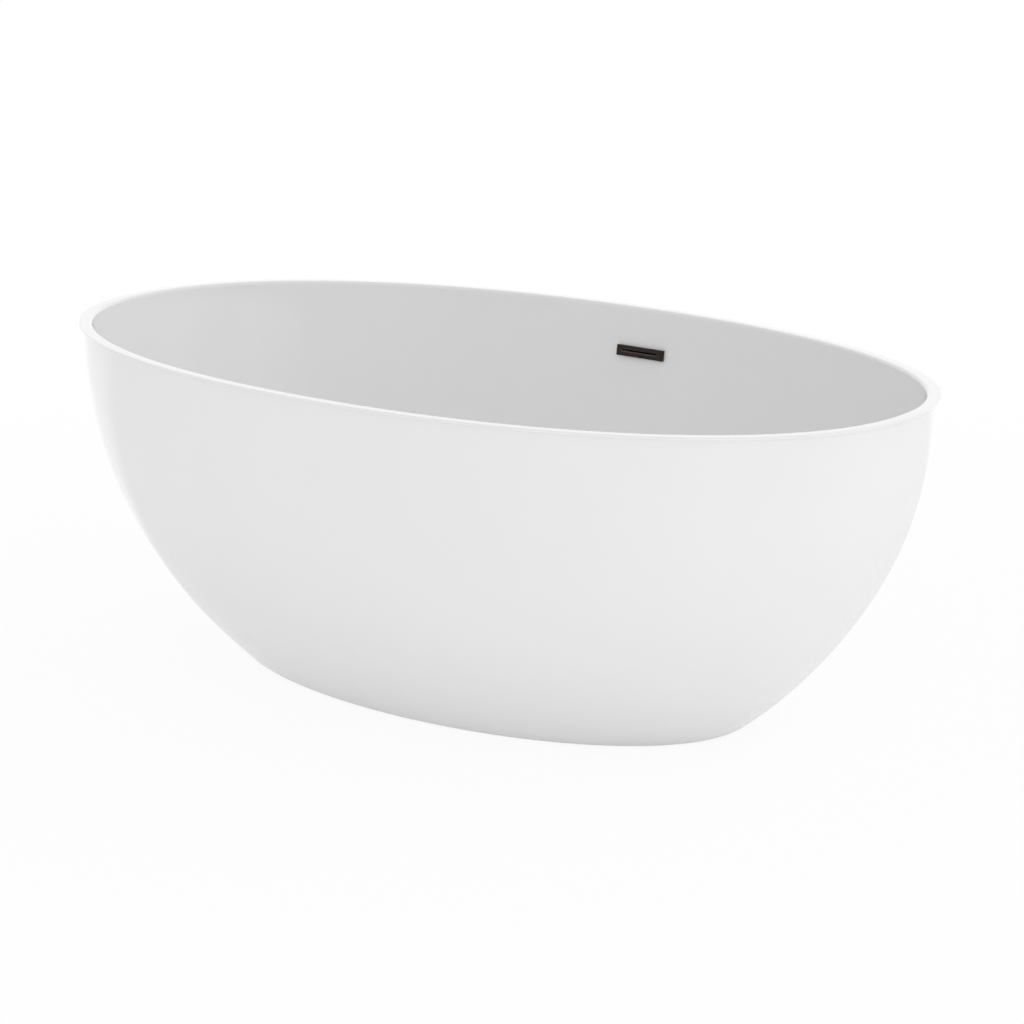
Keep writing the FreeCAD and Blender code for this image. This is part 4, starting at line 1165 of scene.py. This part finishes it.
@dataclass
class Support:
    """Board under the floor, steel frame and the four levelling feet."""

    form: Form
    palette: Palette
    tube: float = 25.0
    tube_wall: float = 2.0
    tube_corner: float = 3.0
    foot: tuple[float, float] = (370.0, 145.0)
    board_half: tuple[float, float] = (500.0, 225.0)
    board_power: float = 2.6
    board_hole: float = 52.0
    plate: tuple[float, float, float] = (60.0, 66.0, 5.0)
    stud_radius: float = 6.0
    pitch: float = 1.75
    thread_depth: float = 0.9
    pad_radius: float = 22.5
    pad_height: float = 12.0
    bead: float = 2.4
    bead_ripple: float = 2.6
    bar_places: tuple[float, ...] = (-370.0, -130.0, 130.0, 370.0)
    plate_hole: float = 7.0

    def build_board(self) -> bpy.types.Object:
        """Oval board with eased edges and a round hole for the waste."""
        low, high = box_mm("base_board")
        x, y = self.board_half
        ease = 1.5
        outer = Outline(np.array([x - ease, x, x, x - ease]), np.array([y - ease, y, y, y - ease]),
                        np.full(4, self.board_power),
                        np.array([low[2], low[2] + ease, high[2] - ease, high[2]]))
        hole = np.full(2, self.board_hole)
        inner = Outline(hole, hole, np.full(2, 2.0), np.array([high[2], low[2]]))
        grid = outer.then(inner).rows(np.linspace(0, 2 * math.pi, 192, endpoint=False))
        return install(surface("base_board_pressed", grid, self.palette.board), "tub", "board", "base_board")

    def square_tube(self, start: tuple[float, float, float], end: tuple[float, float, float]) -> Array:
        """Hollow square tube with rounded corners between two points."""
        path = np.linspace(start, end, 3)
        outer = soft_rectangle(self.tube, self.tube, self.tube_corner)
        inner = soft_rectangle(self.tube - 2 * self.tube_wall, self.tube - 2 * self.tube_wall, 1.2)
        return hollow(*(carried(section, path, (0, 0, 1)) for section in (outer, inner)))

    def weld_bead(self, x: float, side: int) -> Array:
        """Ripple-welded bead round the end of a cross bar: tube radius b (1 + 0.2 sin(2 pi s / ripple))."""
        y = side * (self.rail_y - self.tube / 2)
        loop = soft_rectangle(self.tube, self.tube, self.tube_corner, 8, 40)
        path = np.column_stack([loop[:, 0] + x, np.full(len(loop), y), loop[:, 1] + self.rail_z])
        length = np.cumsum(np.linalg.norm(np.roll(path, -1, 0) - path, axis=1))
        size = self.bead * (1 + 0.2 * np.sin(2 * math.pi * length / self.bead_ripple))
        away = np.column_stack([loop[:, 0], np.zeros(len(loop)), loop[:, 1]])
        away /= np.linalg.norm(away, axis=1, keepdims=True)
        section = circle(1.0, 8)
        along = np.array([0.0, 1.0, 0.0])
        return path[:, None] + size[:, None, None] * (section[None, :, :1] * away[:, None]
                                                      + section[None, :, 1:] * along)

    def build_frame(self) -> None:
        """Two rails, four cross bars and a welded bead at each of their joints."""
        front, back = box_mm("frame_rail_front"), box_mm("frame_rail_back")
        self.rail_y = (back[0][1] + back[1][1]) / 2
        self.rail_z = (front[0][2] + front[1][2]) / 2
        for name, (low, high), side in (("front", front, -1), ("back", back, 1)):
            grid = self.square_tube((low[0], side * self.rail_y, self.rail_z),
                                    (high[0], side * self.rail_y, self.rail_z))
            install(surface(f"frame_rail_{name}_tube", grid, self.palette.powder), "tub", "frame_steel",
                    f"frame_rail_{name}")
        reach = self.rail_y - self.tube / 2
        bars = [self.square_tube((x, -reach, self.rail_z), (x, reach, self.rail_z)) for x in self.bar_places]
        install(joined("frame_cross_bar_tubes", bars, self.palette.powder),
                "tub", "frame_steel", "frame_cross_bars")
        beads = [self.weld_bead(x, side) for x in self.bar_places for side in (-1, 1)]
        install(joined("frame_weld_beads", beads, self.palette.powder), "tub", "frame_steel")

    def build_plates(self) -> None:
        """Foot plates: soft rectangles with a round hole, eased at the edges; and the two sets of nuts."""
        low, high = box_mm("foot_plates")
        width, depth, _ = self.plate
        plates = []
        for place in Place:
            _, sx, sy = place.value
            x, y = sx * self.foot[0], sy * self.foot[1]
            middle = sy * (high[1] - depth / 2)
            outlines = [soft_rectangle(width - 2 * e, depth - 2 * e, 4.0, 6, 8) + (x, middle)
                        for e in (0.6, 0.0)]
            turn = np.arctan2(outlines[1][:, 1] - y, outlines[1][:, 0] - x)
            hole = np.column_stack([x + self.plate_hole * np.cos(turn), y + self.plate_hole * np.sin(turn)])
            plates.append(stacked([(outlines[0], low[2]), (outlines[1], low[2] + 0.6),
                                   (outlines[1], high[2] - 0.6), (outlines[0], high[2]),
                                   (hole, high[2]), (hole, low[2])]))
        install(joined("foot_plate_set", plates, self.palette.powder), "tub", "frame_steel", "foot_plates")
        for node, name in (("weld_nuts", "weld_nut_set"), ("lock_nuts", "lock_nut_set")):
            low, high = box_mm(node)
            nuts = [nut_grid(6, 19.0, self.stud_radius + 0.05, low[2], high[2],
                             (p.value[1] * self.foot[0], p.value[2] * self.foot[1])) for p in Place]
            install(joined(name, nuts, self.palette.zinc), "tub", "zinc_steel", node)

    def stud(self, bottom: float, top: float, collar: tuple[float, float], x: float, y: float) -> list[Array]:
        """Stud r = R - d |2 frac(z / pitch - t / 2 pi) - 1|, run out at both ends, and its hex collar."""
        turn = np.linspace(0, 2 * math.pi, 24, endpoint=False)
        z = np.arange(bottom, top, self.pitch / 6)
        ridge = np.abs(2 * ((z[:, None] / self.pitch - turn[None] / (2 * math.pi)) % 1) - 1)
        ends = np.clip(np.minimum(z - bottom, top - z) / 1.2, 0, 1)[:, None]
        radius = self.stud_radius - self.thread_depth * (ridge * ends + (1 - ends))
        rod = np.stack([radius * np.cos(turn) + x, radius * np.sin(turn) + y,
                        np.broadcast_to(z[:, None], radius.shape)], -1)
        return [capped(rod), nut_grid(6, 17.0, self.stud_radius - 0.9, *collar, (x, y))]

    def build_feet(self) -> None:
        """Rubber pads with grip rings underneath and a stepped shoulder, and the threaded studs."""
        r, h = self.pad_radius, self.pad_height
        for place in Place:
            name, sx, sy = place.value
            x, y = sx * self.foot[0], sy * self.foot[1]
            outline = [(0, 0.8), (6, 0.8), (6.6, 0), (9.4, 0), (10, 0.8), (12, 0.8), (12.6, 0), (15.4, 0),
                       (16, 0.8), (18, 0.8), (18.6, 0), (r - 0.8, 0), (r, 0.8), (r, 5), (r - 1.5, 5.8),
                       (r - 5, h), (7.2, h), (6.1, h - 1), (6.1, 3.1), (0, 3.1)]
            pad = lathe(softened(outline, 0.5, closed=False), 72, (x, y))
            install(surface(f"foot_pad_{name}_rubber", pad, self.palette.rubber, False),
                    f"pad_{name}", "pad_rubber", f"foot_pad_{name}")
            low, high = box_mm(f"foot_stud_{name}")
            shells = self.stud(low[2], high[2], (h + 0.3, h + 6.3), x, y)
            points, faces = combined(shells, [False, True])
            install(place_mesh(f"foot_stud_{name}_threaded", points, faces, [self.palette.zinc]),
                    f"stud_{name}", "zinc_steel", f"foot_stud_{name}")

    def build(self) -> None:
        """Board, frame, plates and feet; ties and frame screws keep their shape and get their finish."""
        self.build_board()
        self.build_frame()
        self.build_plates()
        self.build_feet()
        finish_node("skirt_ties", self.palette.powder)
        finish_node("frame_screws", self.palette.zinc)


# ---- studio ---------------------------------------------------------------------------
@dataclass
class Studio:
    """White floor and surround, soft lights, and the camera."""

    form: Form
    azimuth: float = 38.0
    elevation: float = 14.842
    distance: float = 5454.5
    focal_mm: float = 36.0 * 3106.3 / 1024
    shift_right: float = 43.2
    shift_up: float = 2.8
    floor_size: float = 60000.0
    base_level: float = 0.72
    back_level: float = 0.6
    right_level: float = 0.28
    strip_level: float = 1.15
    floor_gloss: float = 0.9
    sweep_level: float = 0.25
    sweep_edge: tuple[float, float] = (0.5, 0.64)
    panel_level: float = 0.3
    shadow_share: float = 0.1
    shadow_reach: float = 3000.0
    strip_size: tuple[float, float] = (3000.0, 350.0)
    strip_aim: float = 200.0
    strip_spread: float = 75.0
    strip_reach: float = 2600.0
    panel_turn: float = 12.0
    panel_size: tuple[float, float] = (2600.0, 2200.0)
    panel_reach: float = 4200.0
    panel_height: float = 1500.0
    back_lift: float = 10.0
    right_edge: tuple[float, float] = (-0.2, 0.8)

    def build_camera(self) -> None:
        """Camera on the front right of the tub, a little above it."""
        a, e = math.radians(self.azimuth), math.radians(self.elevation)
        back = Vector((math.sin(a) * math.cos(e), -math.cos(a) * math.cos(e), math.sin(e)))
        right = Vector((math.cos(a), math.sin(a), 0.0))
        up = back.cross(right)
        middle = Vector((0, 0, (self.form.top + self.form.skirt_bottom) / 2))
        data = bpy.data.cameras.new("camera")
        data.lens, data.sensor_width = self.focal_mm, 36.0
        data.clip_end = 100.0
        camera = bpy.data.objects.new("camera", data)
        bpy.context.scene.collection.objects.link(camera)
        camera.location = (middle + back * self.distance + right * self.shift_right + up * self.shift_up) * MM
        camera.rotation_mode = "QUATERNION"
        camera.rotation_quaternion = Matrix((right, up, back)).transposed().to_quaternion()
        bpy.context.scene.camera = camera

    def build_floor(self) -> None:
        """Pale floor: seen directly it is nearly its own light, so it stays white and keeps a soft shadow."""
        half = self.floor_size / 2 * MM
        mesh = bpy.data.meshes.new("studio_floor")
        mesh.from_pydata([(-half, -half, 0), (half, -half, 0), (half, half, 0), (-half, half, 0)], [],
                         [(0, 1, 2, 3)])
        floor = bpy.data.objects.new("studio_floor", mesh)
        bpy.context.scene.collection.objects.link(floor)
        material = bpy.data.materials.new("studio_floor_white")
        material.use_nodes = True
        tree = material.node_tree
        tree.nodes.clear()
        paint = add_node(tree, "ShaderNodeBsdfDiffuse", values={"Color": linear_rgba("FBFBFB")})
        path = add_node(tree, "ShaderNodeLightPath")
        position = add_node(tree, "ShaderNodeTexCoord").outputs["Object"]
        bearing = add_node(tree, "ShaderNodeVectorMath", {0: position}, operation="NORMALIZE")
        sweep = self.glow(tree, bearing.outputs["Vector"], self.behind(0.0), self.sweep_level,
                          *self.sweep_edge)
        level = add_node(tree, "ShaderNodeMath", {0: sweep}, {1: self.floor_gloss}, operation="ADD")
        mirrored = add_node(tree, "ShaderNodeMath", {0: path.outputs["Is Glossy Ray"], 1: level.outputs[0]},
                            operation="MULTIPLY")
        direct = add_node(tree, "ShaderNodeMath", {0: path.outputs["Is Camera Ray"], 1: mirrored.outputs[0]},
                          operation="ADD")
        glow = add_node(tree, "ShaderNodeEmission", {"Strength": direct.outputs[0]})
        either = add_node(tree, "ShaderNodeMath",
                          {0: path.outputs["Is Camera Ray"], 1: path.outputs["Is Glossy Ray"]},
                          operation="MAXIMUM")
        away = add_node(tree, "ShaderNodeVectorMath", {0: position}, operation="LENGTH")
        share = add_node(tree, "ShaderNodeMapRange", {"Value": away.outputs["Value"]},
                         {"From Max": self.shadow_reach * MM, "To Min": 1.0 - self.shadow_share})
        seen = add_node(tree, "ShaderNodeMath", {0: either.outputs[0], 1: share.outputs["Result"]},
                        operation="MULTIPLY")
        mixed = add_node(tree, "ShaderNodeMixShader",
                         {0: seen.outputs[0], 1: paint.outputs[0], 2: glow.outputs[0]})
        add_node(tree, "ShaderNodeOutputMaterial", {"Surface": mixed.outputs[0]})
        mesh.materials.append(material)

    def behind(self, lift: float) -> tuple[float, float, float]:
        """Direction to the backdrop behind the tub, raised by an angle in degrees."""
        turn, up = math.radians(self.azimuth), math.radians(lift)
        return (-math.sin(turn) * math.cos(up), math.cos(turn) * math.cos(up), math.sin(up))

    def glow(self, tree: bpy.types.NodeTree, direction: bpy.types.NodeSocket,
             towards: tuple[float, float, float], level: float, start: float,
             end: float) -> bpy.types.NodeSocket:
        """Light from one side: level x smoothstep of the cosine to that side, between start and end."""
        cosine = add_node(tree, "ShaderNodeVectorMath", {0: direction}, {1: towards}, operation="DOT_PRODUCT")
        ramp = add_node(tree, "ShaderNodeMapRange", {"Value": cosine.outputs["Value"]},
                        {"From Min": start, "From Max": end, "To Max": level},
                        interpolation_type="SMOOTHSTEP")
        return ramp.outputs["Result"]

    def build_world(self) -> None:
        """Soft surround, brighter on the right, and behind for gloss only; the camera sees it pure white."""
        world = bpy.data.worlds.new("studio_surround")
        bpy.context.scene.world = world
        world.use_nodes = True
        tree = world.node_tree
        tree.nodes.clear()
        direction = add_node(tree, "ShaderNodeTexCoord").outputs["Generated"]
        turn = math.radians(self.azimuth)
        right = (math.cos(turn), math.sin(turn), 0.0)
        back_glow = self.glow(tree, direction, self.behind(self.back_lift), self.back_level, *self.sweep_edge)
        right_glow = self.glow(tree, direction, right, self.right_level, *self.right_edge)
        path = add_node(tree, "ShaderNodeLightPath")
        mirrored = add_node(tree, "ShaderNodeMath", {0: back_glow, 1: path.outputs["Is Glossy Ray"]},
                            operation="MULTIPLY")
        both = add_node(tree, "ShaderNodeMath", {0: mirrored.outputs[0], 1: right_glow}, operation="ADD")
        total = add_node(tree, "ShaderNodeMath", {0: both.outputs[0]}, {1: self.base_level}, operation="ADD")
        level = add_node(tree, "ShaderNodeMix", {0: path.outputs["Is Camera Ray"], 2: total.outputs[0]},
                         {3: 1.0})
        light = add_node(tree, "ShaderNodeBackground", {"Strength": level.outputs[0]})
        light.inputs["Color"].default_value = (1, 1, 1, 1)
        add_node(tree, "ShaderNodeOutputWorld", {"Surface": light.outputs[0]})

    def build_strip(self, name: str, azimuth: float, size: tuple[float, float], reach: float, height: float,
                    level: float, mirrored: bool = False) -> None:
        """Soft strip light that faces the tub's middle.

        Args:
            name: lamp name.
            azimuth: degrees from the front, towards the right.
            size: width and height.
            reach: horizontal distance from the tub's middle.
            height: height of its middle over the floor.
            level: radiance of its face, where 1 is white.
            mirrored: whether gloss shows it.
        """
        data = bpy.data.lights.new(name, "AREA")
        data.shape, data.size, data.size_y = "RECTANGLE", size[0] * MM, size[1] * MM
        data.energy = level * math.pi * data.size * data.size_y
        turn = math.radians(azimuth)
        place = Vector((math.sin(turn) * reach, -math.cos(turn) * reach, height)) * MM
        lamp = bpy.data.objects.new(name, data)
        bpy.context.scene.collection.objects.link(lamp)
        lamp.location = place
        lamp.rotation_mode = "QUATERNION"
        lamp.rotation_quaternion = (place - Vector((0, 0, self.strip_aim * MM))).to_track_quat("Z", "Y")
        lamp.visible_camera = False
        lamp.visible_glossy = mirrored

    def build(self) -> None:
        """Camera, floor, surround and lights."""
        self.build_camera()
        self.build_floor()
        self.build_world()
        for name, side in (("strip_front", 0), ("strip_left", -1), ("strip_right", 1)):
            self.build_strip(name, self.azimuth + side * self.strip_spread, self.strip_size, self.strip_reach,
                             self.strip_size[1] / 2, self.strip_level)
        self.build_strip("panel_front", self.azimuth + self.panel_turn, self.panel_size, self.panel_reach,
                         self.panel_height, self.panel_level, True)
        bpy.context.scene.view_settings.view_transform = "Standard"


def main() -> None:
    """Build the sub-assemblies in order."""
    logging.basicConfig(level=logging.INFO, format="%(message)s")
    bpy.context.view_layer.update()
    form, palette = Form(), Palette()
    for assembly in (Shells(form, palette), Overflow(form, palette), Waste(form, palette),
                     Stopper(palette), Support(form, palette)):
        assembly.build()
    Studio(form).build()


if __name__ == "__main__":
    main()
